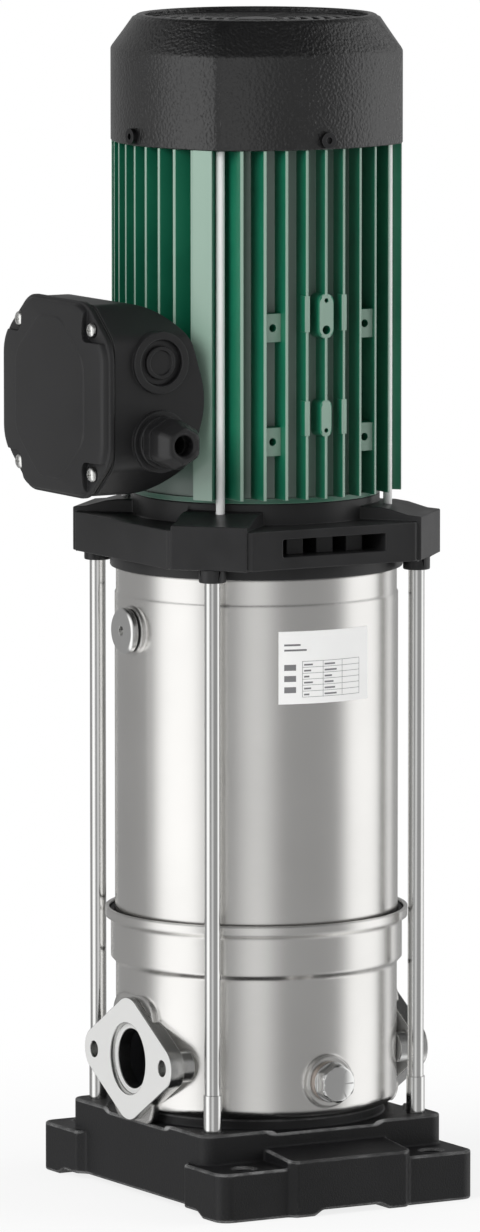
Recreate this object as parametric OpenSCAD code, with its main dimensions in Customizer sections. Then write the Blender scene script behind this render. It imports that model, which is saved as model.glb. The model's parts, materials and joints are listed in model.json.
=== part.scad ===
// Vertical in-line multistage pump with a flanged motor.
// Millimetres. Origin on the shaft line at the floor, +Z up, suction at -X, discharge at +X.

/* [Base] */
// Size of the base along the pipe line
base_x = 158; // [154:1:176]
// Size of the base across the pipe line, over its feet
base_y = 200; // [190:1:230]
// Height of the base to the top of its block
base_h = 43; // [38:0.5:44]
// Side of the square block
block_side = 149; // [146:0.5:152]
// Corner radius of the block and the feet
base_corner_r = 8; // [4:0.5:14]
// Height of the foot ledges
ledge_h = 26.5; // [20:0.5:30]
// Width of the raised middle section
middle_w = 75; // [60:1:90]
// Height of the raised middle section at its front edge
middle_h = 30.5; // [24:0.5:33]
// How far the middle section stands proud of the feet
middle_proud = 3.7; // [1:0.1:6]
// Height of the arches between the feet
arch_h = 3; // [1:0.5:6]
// Length of a foot across the pipe line
foot_l = 44; // [38:1:48]
// Diameter of the floor bolt holes
floor_hole_d = 12; // [9:0.5:16]
// Floor bolt spacing along the pipe line
floor_hole_x = 116; // [104:1:120]
// Floor bolt spacing across the pipe line
floor_hole_y = 176; // [168:1:180]
// Radius of the recess round the pump seat
recess_r = 80.5; // [78:0.5:84]
// Depth of that recess
recess_depth = 2; // [1.5:0.5:4]
// Radius of the seat that the lower housing stands on
seat_r = 69; // [60:1:70]
// Height of that seat
seat_h = 6; // [4:0.5:8]

/* [Lower housing] */
// Outside radius of the lower housing
pot_r = 76.1; // [75:0.1:77]
// Sheet thickness of the lower housing
pot_t = 2; // [1.6:0.1:2.2]
// Height of its straight wall
pot_h = 76; // [74:0.5:80]
// Radius of its bottom corner
pot_corner_r = 6; // [4:0.5:8]
// Outside radius of its widened top
bell_r = 78.8; // [78.6:0.1:79.4]
// Height of the widened top
bell_h = 25; // [22:0.5:28]
// Outside radius of the flared collar
collar_r = 81.8; // [81.4:0.1:82.5]
// Height of the flared collar
collar_h = 5; // [4:0.5:7]

/* [Ports] */
// How far each port face stands out of the lower housing
flange_stand = 3.9; // [3.6:0.1:6]
// Height of the port line above the floor
port_h = 75; // [74:0.5:78]
// Bore of the ports
port_bore = 32; // [25:0.5:34]
// Diameter of the seal step in each flange
port_step_d = 38.7; // [36:0.1:40]
// Depth of the seal step
port_step_depth = 3; // [1:0.5:4]
// Wall of the port neck outside the step
neck_t = 2.1; // [1.8:0.1:2.6]
// Thickness of the flange plates
flange_t = 8.5; // [7:0.5:9]
// Length of a flange over its ears
flange_l = 96; // [94:0.5:98]
// Height of a flange
flange_w = 66.6; // [60:0.2:66.8]
// Radius at the tip of each ear
ear_r = 12; // [10:0.5:13]
// Radius at the top and bottom of a flange
crown_r = 16; // [12:0.5:20]
// Spacing of the flange bolts
flange_bolt_span = 75; // [72:0.5:78]
// Tapping diameter of the flange bolts
flange_bolt_d = 8.5; // [6.5:0.1:9]
// Radius of the thread boss behind each ear
ear_boss_r = 8.5; // [7.5:0.1:9]

/* [Jacket] */
// Outside radius of the pressure jacket
jacket_r = 76.5; // [76.4:0.05:76.6]
// Wall of the pressure jacket
jacket_t = 1.5; // [1.2:0.1:1.8]
// Length of the pressure jacket
jacket_l = 211.7; // [210:0.5:216]
// Drop in radius at the band near its top
band_step = 0.7; // [0.4:0.1:0.9]
// Height of that band
band_h = 13.5; // [10:0.5:16]

/* [Tie rods] */
// Diameter of the tie rods
rod_d = 8.7; // [7:0.1:9.5]
// Side of the square on which the rods stand
rod_square = 126; // [125:0.5:128]
// Diameter of the plain sleeve at the foot of each rod
rod_sleeve_d = 10; // [9.6:0.1:11]
// Height of that sleeve above the base
rod_sleeve_h = 20; // [10:1:30]
// Width of the rod nuts across flats
rod_nut_af = 13; // [11:0.5:14]
// Height of the rod nuts
rod_nut_h = 6.5; // [5:0.5:7]

/* [Stages] */
// Number of stages
stages = 6; // [6:1:6]
// Height of the discharge ring over the last stage
ring_l = 31.7; // [30:0.1:38]
// Outside radius of the stage casings
stage_r = 62; // [58:0.5:64]
// Wall of the stage casings
stage_t = 2; // [1.5:0.1:3]
// Outside radius of the impellers
impeller_r = 51; // [46:0.5:53]
// Radius of the impeller eye
eye_r = 21; // [19:0.5:22]
// Thickness of the impeller shrouds
shroud_t = 1.6; // [1.2:0.1:2]
// Passage height between the shrouds
passage_h = 7; // [5:0.5:8]
// Blades in each impeller
blades = 6; // [4:1:7]
// Blade thickness
blade_t = 1.8; // [1.2:0.1:2.5]
// Guide vanes in each casing
guides = 7; // [5:1:9]
// Diameter of the pump shaft
pump_shaft_d = 16; // [14:0.5:17]
// Outside radius of the spacer sleeves on the pump shaft
spacer_r = 11; // [10.5:0.1:12]

/* [Lantern] */
// Width of the lantern over its flat sides
lantern_w = 168; // [166:0.5:172]
// Distance from the axis to its corner faces
lantern_corner = 97; // [96:0.5:99]
// Width of the corner blocks
corner_w = 42; // [38:0.5:44]
// Height of the lantern from the jacket to the motor
lantern_h = 39.7; // [39.7:0.1:44]
// Height of the round skirt under the body
skirt_h = 7; // [6:0.5:9]
// Height of the side walls
wall_h = 21; // [19:0.5:22]
// Extra height of the corner blocks over the walls
corner_rise = 2.6; // [1:0.2:4]
// Width of the window
window_w = 63; // [50:1:70]
// Height of the window
window_h = 9.4; // [8:0.2:11]
// Width of each bar in the window
bar_w = 10.3; // [6:0.1:12]
// Spacing of the bars
bar_pitch = 18.3; // [16:0.1:20]
// Depth of the bars behind the wall face
bar_setback = 10.7; // [6:0.1:14]
// Radius of the coupling chamber
chamber_r = 56; // [50:0.5:58]

/* [Motor] */
// Radius of the motor barrel under the fins
barrel_r = 64.7; // [63:0.1:65.5]
// Wall of the motor barrel
barrel_t = 6.7; // [5:0.1:8]
// How far the flange ring at its foot stands out of the barrel
ring_proud = 1.8; // [1.3:0.1:2.8]
// Length of the motor barrel
barrel_l = 189; // [180:1:200]
// How far the middle fins stand out of the barrel
fin_depth = 10.3; // [9:0.1:10.7]
// Radius of the curve that the fin tips follow
face_r = 97.1; // [95:0.1:99]
// Fins on each side of the middle fin
fins_side = 4; // [4:1:4]
// Spacing of the fins
fin_pitch = 10.95; // [10.6:0.05:11.2]
// Fin thickness
fin_t = 1.6; // [1.2:0.1:2.2]
// Width of each corner rib
corner_rib_w = 28; // [26:0.5:30]
// Width of the groove for the motor studs
stud_groove_w = 10; // [7:0.5:11]
// Diameter of the motor studs
stud_d = 4; // [3.5:0.1:6]
// Distance from the barrel to the middle of the motor studs
stud_stand = 8.3; // [7.5:0.1:9]
// Length of stator and rotor iron
iron_l = 90; // [80:1:95]
// Depth of the stator slots
slot_l = 13; // [11:0.5:15]
// Gap between rotor and stator
air_gap = 0.5; // [0.3:0.1:1]
// Diameter of the motor shaft
motor_shaft_d = 20; // [18:0.5:20]
// Bearing outside diameter
bearing_d = 47; // [46:0.5:50]
// Bearing width
bearing_w = 14; // [13:0.5:16]
// Diameter of the bearing balls
ball_d = 7.9; // [7:0.1:8]

/* [Foot pads on the motor] */
// Width of a foot pad
pad_w = 12.6; // [12:0.1:13]
// Height of a foot pad
pad_h = 15.4; // [13:0.1:18]
// Depth of a foot pad behind the fin tips
pad_inset = 2.4; // [1:0.1:3]
// Diameter of the pad holes
pad_hole_d = 4.2; // [3.3:0.1:5]
// Height of the lower pads above the motor flange
pad_low = 34.5; // [30:0.5:40]
// Height of the upper pads above the motor flange
pad_high = 94; // [90:0.5:98]

/* [Fan cover] */
// Height of the fan cover
cover_h = 68.3; // [66:0.1:72]
// Wall of the fan cover
cover_t = 2.2; // [1.8:0.1:2.6]
// Height of its sloped shoulder
shoulder_h = 18.5; // [14:0.5:22]
// Radius of the round rim at its top
rim_r = 65.3; // [63:0.1:67]
// Spacing of the grille rings
grille_pitch = 6.4; // [6:0.1:7]
// Width of a grille bar
grille_bar = 2.6; // [2:0.1:3.2]
// Radius of the fan
fan_r = 58; // [50:1:62]
// Fan blades
fan_blades = 9; // [7:1:11]

/* [Terminal box] */
// Distance from the axis to the lid joint
box_joint = 118; // [116:0.5:122]
// How far the back of the box reaches past the barrel's surface
box_seat = 0.7; // [0.3:0.1:1.2]
// Height of the box centre above the motor flange
box_z = 57.3; // [56:0.1:60]
// Half width of the box
box_half_w = 56; // [54:0.2:57]
// Half height of the box
box_half_h = 51; // [49:0.2:52]
// Wall of the box
box_t = 3; // [2:0.1:3.4]
// Depth of the lid
lid_depth = 8.4; // [7:0.1:10]
// Thickness of the lid gasket
gasket_t = 1; // [0.6:0.1:1.6]
// Spacing of the lid screws across
lid_screw_y = 79.4; // [78:0.2:80]
// Spacing of the lid screws up and down
lid_screw_z = 76.6; // [75:0.2:77]
// Distance from the axis to the cable entries
entry_x = 91; // [90:0.5:92]
// Height of each entry above or below the box centre
entry_z = 21; // [20:0.5:22]
// Diameter of the entry holes
entry_d = 20; // [16:0.5:20.5]
// Width of the gland nut across flats
gland_af = 25; // [22:0.5:26]
// Cable hole of the gland
gland_bore = 10; // [7:0.5:11]

/* [Plugs] */
// Height of the drain plug above the floor
drain_h = 67.5; // [66:0.5:70]
// Thread diameter of the drain plug
drain_d = 13; // [12:0.5:14]
// Width of the drain plug across flats
drain_af = 19; // [17:0.5:20]
// Length of the drain plug head
drain_head = 8.5; // [6:0.5:10]
// Height of the vent plug below the lantern
vent_drop = 31.5; // [30:0.5:36]
// Thread diameter of the vent plug
vent_d = 13; // [12:0.5:14]
// Diameter of the vent plug head
vent_head_d = 25; // [22:0.5:26]
// Thickness of the vent plug head
vent_head = 4; // [3:0.5:6]
// Length of the plug threads
plug_thread_l = 9; // [8:0.5:10]
// Thickness of the plug seal rings
plug_seal_t = 1.5; // [1:0.1:2]

/* [Fits] */
// Gap of pieces that are seated in each other
fit = 0.1; // [0.05:0.01:0.15]
// Gap of pieces that run past each other
run_gap = 0.5; // [0.3:0.05:0.6]
// Gap of a shaft in its bush
bush_gap = 0.08; // [0.05:0.01:0.1]

/* [Hidden] */
$fn = 64;
e = 0.01;

// Levels, from the floor up
port_span = 2 * (pot_r + flange_stand);
recess_z = base_h - recess_depth;
pot_z = recess_z + seat_h;
taper_z = pot_z + pot_h;
taper_h = 3;
collar_z = taper_z + taper_h + bell_h - taper_h;
pot_top = collar_z + collar_h;
jacket_z = taper_z + taper_h + pot_t / 2;
jacket_top = jacket_z + jacket_l;
head_t = 3.2;
washer_t = 1.6;
body_z = jacket_top + skirt_h;
wall_z = body_z + wall_h;
corner_z = wall_z + corner_rise;
motor_z = jacket_top + lantern_h;
ring_h = 2.8;
barrel_top = motor_z + barrel_l;
cover_top = barrel_top + cover_h;
shoulder_z = cover_top - shoulder_h;
box_cz = motor_z + box_z;
vent_h = jacket_top - vent_drop;

// Motor sizes that follow the barrel
ring_r = barrel_r + ring_proud;
fin_reach = barrel_r + fin_depth;
stud_r = barrel_r + stud_stand;
box_back = barrel_r - box_seat;

// The curved square that the fin tips and the fan cover follow
face_back = face_r - fin_reach;
cover_proud = 0.5;
barrel_in = barrel_r - barrel_t;
cavity_back = box_back + box_t + 3;
wire_r = 7;
wire_drop = 22;

// Pump shaft line
intake_r = 47;
intake_t = 2.5;
intake_top = taper_z - 16;
shaft_r = pump_shaft_d / 2;
shaft_z = intake_top - 16;
stage_z = intake_top;
head_l = 20;
head_z = jacket_top - head_l;
stage_top = head_z - ring_l;
stage_pitch = (stage_top - stage_z) / stages;
eye_neck_t = 2.2;
impeller_lift = 4.2;
hub_h = shroud_t * 2 + passage_h;
seal_seat_h = 6;
coupling_z = body_z + 3;
coupling_h = motor_z - coupling_z - 2;
coupling_r = 21;
pump_shaft_top = coupling_z + coupling_h / 2 - 1;
stub_r = 8;

// Motor inside
shield_t = 8;
low_bearing_z = motor_z + shield_t;
high_bearing_z = barrel_top - bearing_w - 2;
iron_z = motor_z + (barrel_l - iron_l) / 2;
bearing_r = bearing_d / 2;
motor_shaft_r = motor_shaft_d / 2;
race_t = 3.6;
slot_w = 4.4;
yoke_t = 6.4;
slot_in = barrel_in - fit - yoke_t - slot_l;
rotor_r = slot_in - 5 - air_gap;
coil_gap = 0.2;
coil_over = 18;
ball_circle = (bearing_r + motor_shaft_r) / 2;
fan_z = barrel_top + 12;

// Flange neck and pads on the lower housing
neck_r = port_step_d / 2 + neck_t;
port_pad_w = 43.5;
port_pad_h = flange_w + 3;
pad_face = pot_r + 0.5;
neck_in = pot_r - pot_t - 5;
ear_boss_l = 16;
// The bolt holes in the ears end a little before the housing
bolt_floor = 1.5;
bolt_in = sqrt(pow(pot_r + fit, 2) - pow((flange_bolt_span - flange_bolt_d) / 2, 2)) + bolt_floor;
drain_boss_r = 14;
drain_face = pot_r + 3.4;
vent_face = jacket_r + 1.6;

steel = [0.76, 0.76, 0.75];
polished = [0.86, 0.86, 0.86];
black = [0.11, 0.11, 0.115];
cast_black = [0.07, 0.07, 0.075];
green = [0.02, 0.25, 0.13];
rubber = [0.04, 0.04, 0.04];
copper = [0.72, 0.4, 0.2];
iron = [0.42, 0.42, 0.44];
zinc = [0.8, 0.8, 0.78];
brass = [0.8, 0.65, 0.3];
resin = [0.16, 0.15, 0.14];
carbon = [0.25, 0.22, 0.2];

// Points of an arc about c, from angle a to angle b
function arc(c, r, a, b, n = 6) =
    [for (i = [0:n]) [c[0] + r * cos(a + (b - a) * i / n), c[1] + r * sin(a + (b - a) * i / n)]];

// Outer tangent points of two circles, given as [x, y, r], walking anticlockwise
function tangent(p, q) =
    let (
        dx = q[0] - p[0],
        dy = q[1] - p[1],
        a = atan2(dy, dx) - acos((p[2] - q[2]) / sqrt(dx * dx + dy * dy))
    )
    [[p[0] + p[2] * cos(a), p[1] + p[2] * sin(a)], [q[0] + q[2] * cos(a), q[1] + q[2] * sin(a)]];

// Taut band round circles listed anticlockwise, with true arcs; its straight sides lie inside by nip
module band(circles, nip = 0) {
    n = len(circles);
    inner = [for (c = circles) [c[0], c[1], c[2] - nip]];
    polygon([for (i = [0:n - 1]) each tangent(inner[i], inner[(i + 1) % n])]);
    for (c = circles) translate([c[0], c[1]]) circle(r = c[2]);
}

module tube(r1, r0, z0, z1) {
    translate([0, 0, z0]) difference() {
        cylinder(r = r1, h = z1 - z0);
        translate([0, 0, -1]) cylinder(r = r0, h = z1 - z0 + 2);
    }
}

module rod(r, z0, z1) {
    translate([0, 0, z0]) cylinder(r = r, h = z1 - z0);
}

// Hexagon prism of a given width across flats
module hex(af, h) {
    linear_extrude(h) intersection_for (a = [0, 60, 120]) rotate(a) square([af, 2 * af], center = true);
}

module four_corners(d) {
    for (x = [-1, 1], y = [-1, 1]) translate([x * d, y * d, 0]) children();
}

// A cylinder that points along +X, starting at x
module bar_x(r, x0, x1, z) {
    translate([x0, 0, z]) rotate([0, 90, 0]) cylinder(r = r, h = x1 - x0);
}

// A cylinder that points along -Y, starting at distance y0 in front of the axis
module bar_y(r, y0, y1, z) {
    translate([0, -y0, z]) rotate([90, 0, 0]) cylinder(r = r, h = y1 - y0);
}

// Square plate with round corners
module rounded(x, y, r) {
    u = x / 2 - r;
    v = y / 2 - r;
    band([[u, -v, r], [u, v, r], [-u, v, r], [-u, -v, r]]);
}

// Base casting
module foot_plan() {
    rounded(base_x, base_y, base_corner_r);
}

module middle_plan() {
    root = middle_w / 2;
    tip = root - middle_proud;
    front = base_y / 2 + middle_proud;
    polygon([[-root, -base_y / 2], [-tip, -front], [tip, -front], [root, -base_y / 2],
        [root, base_y / 2], [tip, front], [-tip, front], [-root, base_y / 2]]);
}

module base_plate() {
    slope_top = middle_h + 3;
    inner = base_y / 2 - foot_l;
    color(cast_black) difference() {
        union() {
            linear_extrude(ledge_h) difference() {
                foot_plan();
                for (s = [-1, 1]) polygon([
                    [s * block_side / 2, -inner], [s * base_x, -inner - (base_x - block_side / 2)],
                    [s * base_x, inner + (base_x - block_side / 2)], [s * block_side / 2, inner]
                ]);
            }
            linear_extrude(base_h) rounded(block_side, block_side, base_corner_r);
            intersection() {
                linear_extrude(base_h) middle_plan();
                rotate([90, 0, 90]) translate([0, 0, -middle_w]) linear_extrude(2 * middle_w) polygon([
                    [-base_y / 2 - middle_proud, 0], [base_y / 2 + middle_proud, 0],
                    [base_y / 2 + middle_proud, middle_h], [block_side / 2 - 1, slope_top],
                    [-block_side / 2 + 1, slope_top], [-base_y / 2 - middle_proud, middle_h]
                ]);
            }
        }
        rod(recess_r, recess_z, base_h + 1);
        translate([0, 0, -e]) floor_arches();
        four_corners(rod_square / 2) {
            translate([0, 0, -1]) cylinder(d = rod_d + 4 * fit, h = base_h + 2);
            translate([0, 0, -1]) cylinder(d = rod_nut_af + 8, h = rod_nut_h + arch_h + 4);
        }
        for (x = [-1, 1], y = [-1, 1]) translate([x * floor_hole_x / 2, y * floor_hole_y / 2, -1])
            cylinder(d = floor_hole_d, h = base_h + 2);
    }
    color(cast_black) rod(seat_r, recess_z - 1, pot_z);
}

module floor_arches() {
    span_x = base_x / 2 - 61;
    span_y = foot_l - 18;
    rotate([90, 0, 0]) translate([0, 0, -base_y]) linear_extrude(2 * base_y)
        polygon([
            [-span_x - arch_h * 1.6, 0], [span_x + arch_h * 1.6, 0], [span_x, arch_h], [-span_x, arch_h]
        ]);
    half = base_y / 2 - span_y;
    rotate([90, 0, 90]) translate([0, 0, -base_x]) linear_extrude(2 * base_x)
        polygon([[-half - arch_h * 2, 0], [half + arch_h * 2, 0], [half, arch_h], [-half, arch_h]]);
}

// Deep-drawn lower housing with its flared collar and port pads
module pump_housing() {
    t = pot_t;
    turn = [pot_r - pot_corner_r, pot_z + pot_corner_r];
    outer = concat([[0, pot_z], [turn[0], pot_z]], arc(turn, pot_corner_r, -75, 0), [
        [pot_r, taper_z], [bell_r, taper_z + taper_h], [bell_r, collar_z - 2],
        [collar_r, collar_z], [collar_r, pot_top]
    ]);
    inner = concat([
        [collar_r - t, pot_top], [collar_r - t, collar_z + 0.6], [bell_r - t, collar_z - 1.4],
        [bell_r - t, taper_z + taper_h + 0.7], [pot_r - t, taper_z + 0.7]
    ], arc(turn, pot_corner_r - t, 0, -75), [[turn[0], pot_z + t], [0, pot_z + t]]);
    color(steel) difference() {
        union() {
            rotate_extrude() polygon(concat(outer, inner));
            difference() {
                for (a = [0, 180]) rotate(a) translate([-pad_face, 0, port_h]) rotate([0, 90, 0])
                    linear_extrude(12) rounded(port_pad_h, port_pad_w, 12);
                rod(pot_r - t / 2, 0, pot_top);
            }
            difference() {
                bar_y(drain_boss_r, pot_r - 10, drain_face, drain_h);
                rod(pot_r - t / 2, 0, pot_top);
            }
        }
        bar_x(neck_r + fit, -port_span / 2, port_span / 2, port_h);
        bar_y(drain_d / 2 + bush_gap, pot_r - 12, drain_face + 1, drain_h);
        // The pads stay inside the recess of the base
        translate([0, 0, recess_z - 20]) linear_extrude(20 + 0.4) square(4 * pot_r, center = true);
    }
}

// A plan on the port line, extruded along +X from x over a length l
module along_port(x, l) {
    translate([x, 0, port_h]) rotate([90, 0, 90]) linear_extrude(l) children();
}

module flange_plan() {
    ear = flange_l / 2 - ear_r;
    crown = flange_w / 2 - crown_r;
    band([[0, -crown, crown_r], [ear, 0, ear_r], [0, crown, crown_r], [-ear, 0, ear_r]], 0.02);
}

// Oval flange with its neck, at the suction side; the ears wrap round the housing
module flange() {
    face = port_span / 2;
    back = pad_face + fit;
    over = 0.5;
    color(polished) difference() {
        union() {
            along_port(-face, face - back) flange_plan();
            difference() {
                union() {
                    along_port(-back - over, flange_t - face + back + over) difference() {
                        flange_plan();
                        square([port_pad_w + 2 * fit, 2 * flange_w], center = true);
                    }
                    for (y = [-1, 1]) translate([0, y * flange_bolt_span / 2, 0])
                        bar_x(ear_boss_r, -face + 1, -face + ear_boss_l, port_h);
                }
                rod(pot_r + fit, -1, pot_top);
            }
            bar_x(neck_r, -face + 1, -neck_in, port_h);
        }
        flange_holes(face);
    }
}

module flange_holes(face) {
    bar_x(port_bore / 2, -face - 1, -neck_in + 1, port_h);
    bar_x(port_step_d / 2, -face - 1, -face + port_step_depth, port_h);
    for (y = [-1, 1]) translate([0, y * flange_bolt_span / 2, 0])
        bar_x(flange_bolt_d / 2, -face - 1, -bolt_in, port_h);
}

module suction_flange() {
    flange();
}

module discharge_flange() {
    rotate(180) flange();
}

// Pressure jacket with its vent boss
module jacket_tube() {
    r = jacket_r;
    t = jacket_t;
    band_z = jacket_top - band_h;
    color(steel) difference() {
        union() {
            rotate_extrude() polygon([
                [r - t, jacket_z], [r, jacket_z], [r, band_z - 1], [r - band_step, band_z],
                [r - band_step, jacket_top], [r - band_step - t, jacket_top], [r - band_step - t, band_z],
                [r - t, band_z - 1]
            ]);
            difference() {
                bar_x(vent_head_d / 2 + 0.5, -vent_face, -r + 10, vent_h);
                rod(r - t / 2, 0, jacket_top + 50);
            }
        }
        bar_x(vent_d / 2 + bush_gap, -r - 20, -r + 20, vent_h);
    }
}

module ring_seal(r, cord, z) {
    rotate_extrude() translate([r, z]) circle(r = cord, $fn = 24);
}

module jacket_seals() {
    cord = (collar_r - pot_t - jacket_r) / 2 - 0.05;
    color(rubber) ring_seal(jacket_r + cord + 0.05, cord, collar_z + 0.6 + cord);
    color(rubber) ring_seal(head_r() - head_groove() + head_cord() + 0.05, head_cord(), head_z + 10);
}

function head_r() = jacket_r - band_step - jacket_t - fit;
function head_cord() = 1.5;
function head_groove() = 2 * head_cord() + 0.1 - fit;

// Cast insert that leads the water from the suction neck to the first eye
module intake_insert() {
    floor_z = pot_z + pot_t;
    hub_r = shaft_r + bush_gap + 6;
    color(iron) difference() {
        union() {
            tube(intake_r, intake_r - intake_t, floor_z, intake_top);
            rod(intake_r, floor_z, floor_z + intake_t);
            tube(stage_r + 2, intake_r - intake_t, intake_top - 3, intake_top);
            bar_x(port_bore / 2 + 3, -neck_in, -intake_r + 4, port_h);
            tube(hub_r, hub_r - 3, shaft_z, intake_top - 4);
            for (a = [30, 150, 270]) rotate(a) translate([hub_r - 2, -3, shaft_z + 2])
                cube([intake_r - intake_t - hub_r + 3, 6, 6]);
        }
        bar_x(port_bore / 2 + 1, -neck_in - 1, -intake_r + intake_t + 3, port_h);
    }
}

module lower_bush() {
    color(copper) tube(shaft_r + bush_gap + 3 - fit, shaft_r + bush_gap, shaft_z, intake_top - 4);
}

// One stage casing: a cup with an eye ring, a diffuser disc and guide vanes
module stage_casing(i) {
    z = stage_z + i * stage_pitch;
    disc_z = z + impeller_lift + hub_h + 2.4;
    neck = eye_r + eye_neck_t + run_gap;
    color(steel) {
        tube(stage_r, stage_r - stage_t, z, z + stage_pitch);
        tube(stage_r - 1, neck, z, z + 2);
        tube(neck + 2, neck, z, z + impeller_lift - run_gap);
        tube(stage_r - 8, spacer_r + run_gap, disc_z, disc_z + 1.6);
        translate([0, 0, disc_z + 1]) linear_extrude(z + stage_pitch - disc_z - 1) for (k = [0:guides - 1])
            rotate(k * 360 / guides) vane(eye_r + 6, stage_r - 1, blade_t, 1);
    }
}

// Plan of one curved vane from radius r0 to radius r1
module vane(r0, r1, t, way) {
    mid = (r0 + r1) / 2;
    bend = (r1 - r0) * 1.25;
    intersection() {
        difference() {
            circle(r = r1);
            circle(r = r0);
        }
        translate([mid - bend * 0.92, -way * bend * 0.72]) difference() {
            circle(r = bend + t / 2);
            circle(r = bend - t / 2);
        }
        translate([r0 / 2, -r1]) square([r1, 2 * r1]);
    }
}

// Closed impeller with backward-curved blades between two shrouds
module impeller(i) {
    z = stage_z + i * stage_pitch + impeller_lift;
    color(polished) difference() {
        union() {
            rod(spacer_r, z, z + hub_h);
            translate([0, 0, z + shroud_t + passage_h]) cylinder(r = impeller_r, h = shroud_t);
            tube(impeller_r, eye_r, z, z + shroud_t);
            tube(eye_r + eye_neck_t, eye_r, z - impeller_lift + 1, z + 1);
            translate([0, 0, z + shroud_t - 0.5]) linear_extrude(passage_h + 1) for (k = [0:blades - 1])
                rotate(k * 360 / blades) vane(eye_r - 2, impeller_r - 0.5, blade_t, -1);
        }
        rod(shaft_r + fit, z - 1, z + hub_h + 1);
    }
}

module discharge_ring() {
    z0 = stage_top;
    color(steel) difference() {
        tube(stage_r, stage_r - stage_t, z0, head_z);
        for (k = [0:7]) rotate(k * 45) translate([stage_r - 10, -12, z0 + 6])
            cube([20, 24, head_z - z0 - 14]);
    }
}

// Pump head that closes the jacket and carries the fixed seal face
module pump_head() {
    top = jacket_top + head_t;
    color(iron) difference() {
        rod(head_r(), head_z, top);
        rotate_extrude() translate([head_r() - head_groove(), head_z + 8.4])
            square([head_groove() + 1, 3.2]);
        rod(shaft_r + 1.5, head_z - 1, top + 1);
        rod(shaft_r + 9 + fit, head_z - 1, head_z + seal_seat_h);
        translate([0, 0, head_z + 12]) tube(46, 22, 0, 30);
    }
}

module seal_seat() {
    color(carbon) tube(shaft_r + 9, shaft_r + 1.2, head_z + run_gap / 2, head_z + seal_seat_h - fit);
}

module seal_rotor() {
    top = head_z;
    color(steel) rotate_extrude() polygon([
        [shaft_r + fit, top - 16], [shaft_r + 4, top - 16], [shaft_r + 4, top - 12],
        [shaft_r + 6.5, top - 12], [shaft_r + 6.5, top - 3], [shaft_r + 7.5, top - 3],
        [shaft_r + 7.5, top], [shaft_r + fit, top]
    ]);
}

module tie_rods() {
    color(polished) four_corners(rod_square / 2) {
        translate([0, 0, arch_h + 2]) cylinder(d = rod_d, h = wall_z - 4 - arch_h - 2);
        translate([0, 0, base_h]) cylinder(d = rod_sleeve_d, h = rod_sleeve_h);
    }
}

function nut_seat() = rod_nut_h + arch_h + 3;

module tie_rod_nuts() {
    color(zinc) four_corners(rod_square / 2) translate([0, 0, nut_seat() - washer_t - rod_nut_h])
        difference() {
            hex(rod_nut_af, rod_nut_h);
            translate([0, 0, -1]) cylinder(d = rod_d + 2 * fit, h = rod_nut_h + 2);
        }
}

module tie_rod_washers() {
    color(zinc) four_corners(rod_square / 2)
        tube(rod_nut_af / 2 + 2, rod_d / 2 + fit, nut_seat() - washer_t, nut_seat());
}

// Plan of the lantern body: flat sides with the corners cut off
module lantern_plan() {
    intersection() {
        square(lantern_w, center = true);
        rotate(45) square(2 * lantern_corner - 4, center = true);
    }
}

module lantern() {
    lip = jacket_r + 2.5;
    window_z = wall_z - 5 - window_h;
    floor_z = jacket_top + head_t;
    color(black) difference() {
        union() {
            rod(lip, jacket_top, body_z);
            translate([0, 0, body_z]) linear_extrude(wall_h) lantern_plan();
            rod(ring_r, wall_z - 1, motor_z);
            four_corners(rod_square / 2) translate([0, 0, jacket_top]) cylinder(d = 14.6, h = skirt_h + 1);
            for (a = [45:90:315]) rotate(a) corner_block();
        }
        rod(head_r() + 2 * fit, jacket_top - 1, floor_z);
        rod(chamber_r, body_z + 1.5, wall_z);
        rod(46, wall_z - 1, motor_z + 1);
        rod(24, floor_z - 1, body_z + 2);
        for (y = [-1, 1]) translate([-window_w / 2, y > 0 ? chamber_r - 6 : -lantern_w, window_z])
            cube([window_w, lantern_w - chamber_r + 6, window_h]);
        four_corners(rod_square / 2) rod(rod_d / 2 + fit, jacket_top - 1, wall_z - 4 + fit);
        at_studs() rod(stud_d / 2 + fit, wall_z - 6, motor_z);
    }
    color(black) intersection() {
        difference() {
            for (k = [-1:1]) translate([k * bar_pitch - bar_w / 2, -lantern_w, window_z - 1])
                cube([bar_w, 2 * lantern_w, window_h + 2]);
            rod(chamber_r, 0, motor_z);
        }
        translate([0, 0, window_z - 1]) linear_extrude(window_h + 2)
            square(lantern_w - 2 * bar_setback, center = true);
    }
}

module at_studs() {
    for (a = [45:90:315]) rotate(a) translate([stud_r, 0, 0]) children();
}

module corner_block() {
    r0 = ring_r - 6;
    rise = corner_z + 4.7;
    rotate([90, 0, 0]) translate([0, 0, -corner_w / 2]) linear_extrude(corner_w) polygon([
        [r0, body_z], [lantern_corner, body_z], [lantern_corner, corner_z],
        [lantern_corner - 7, corner_z + 0.6], [stud_r + 6, rise - 1], [stud_r - 1, rise], [r0, rise]
    ]);
}

// Outline that the fin tips follow, moved outwards by grow
module face_outline(grow = 0) {
    intersection_for (a = [0:90:270]) rotate(a) translate([0, -face_back])
        circle(r = face_r + grow, $fn = 128);
}

module fin_plan(bare) {
    intersection() {
        face_outline();
        union() {
            for (a = [0:90:270], k = [-fins_side:fins_side])
                if (!bare || a != 90) rotate(a) translate([k * fin_pitch - fin_t / 2, barrel_r * 0.6])
                    square([fin_t, 60]);
            for (a = [45:90:315]) rotate(a) difference() {
                translate([barrel_r - 6, -corner_rib_w / 2]) square([30, corner_rib_w]);
                translate([stud_r - stud_groove_w / 2, -stud_groove_w / 2]) square([30, stud_groove_w]);
            }
        }
    }
}

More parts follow.
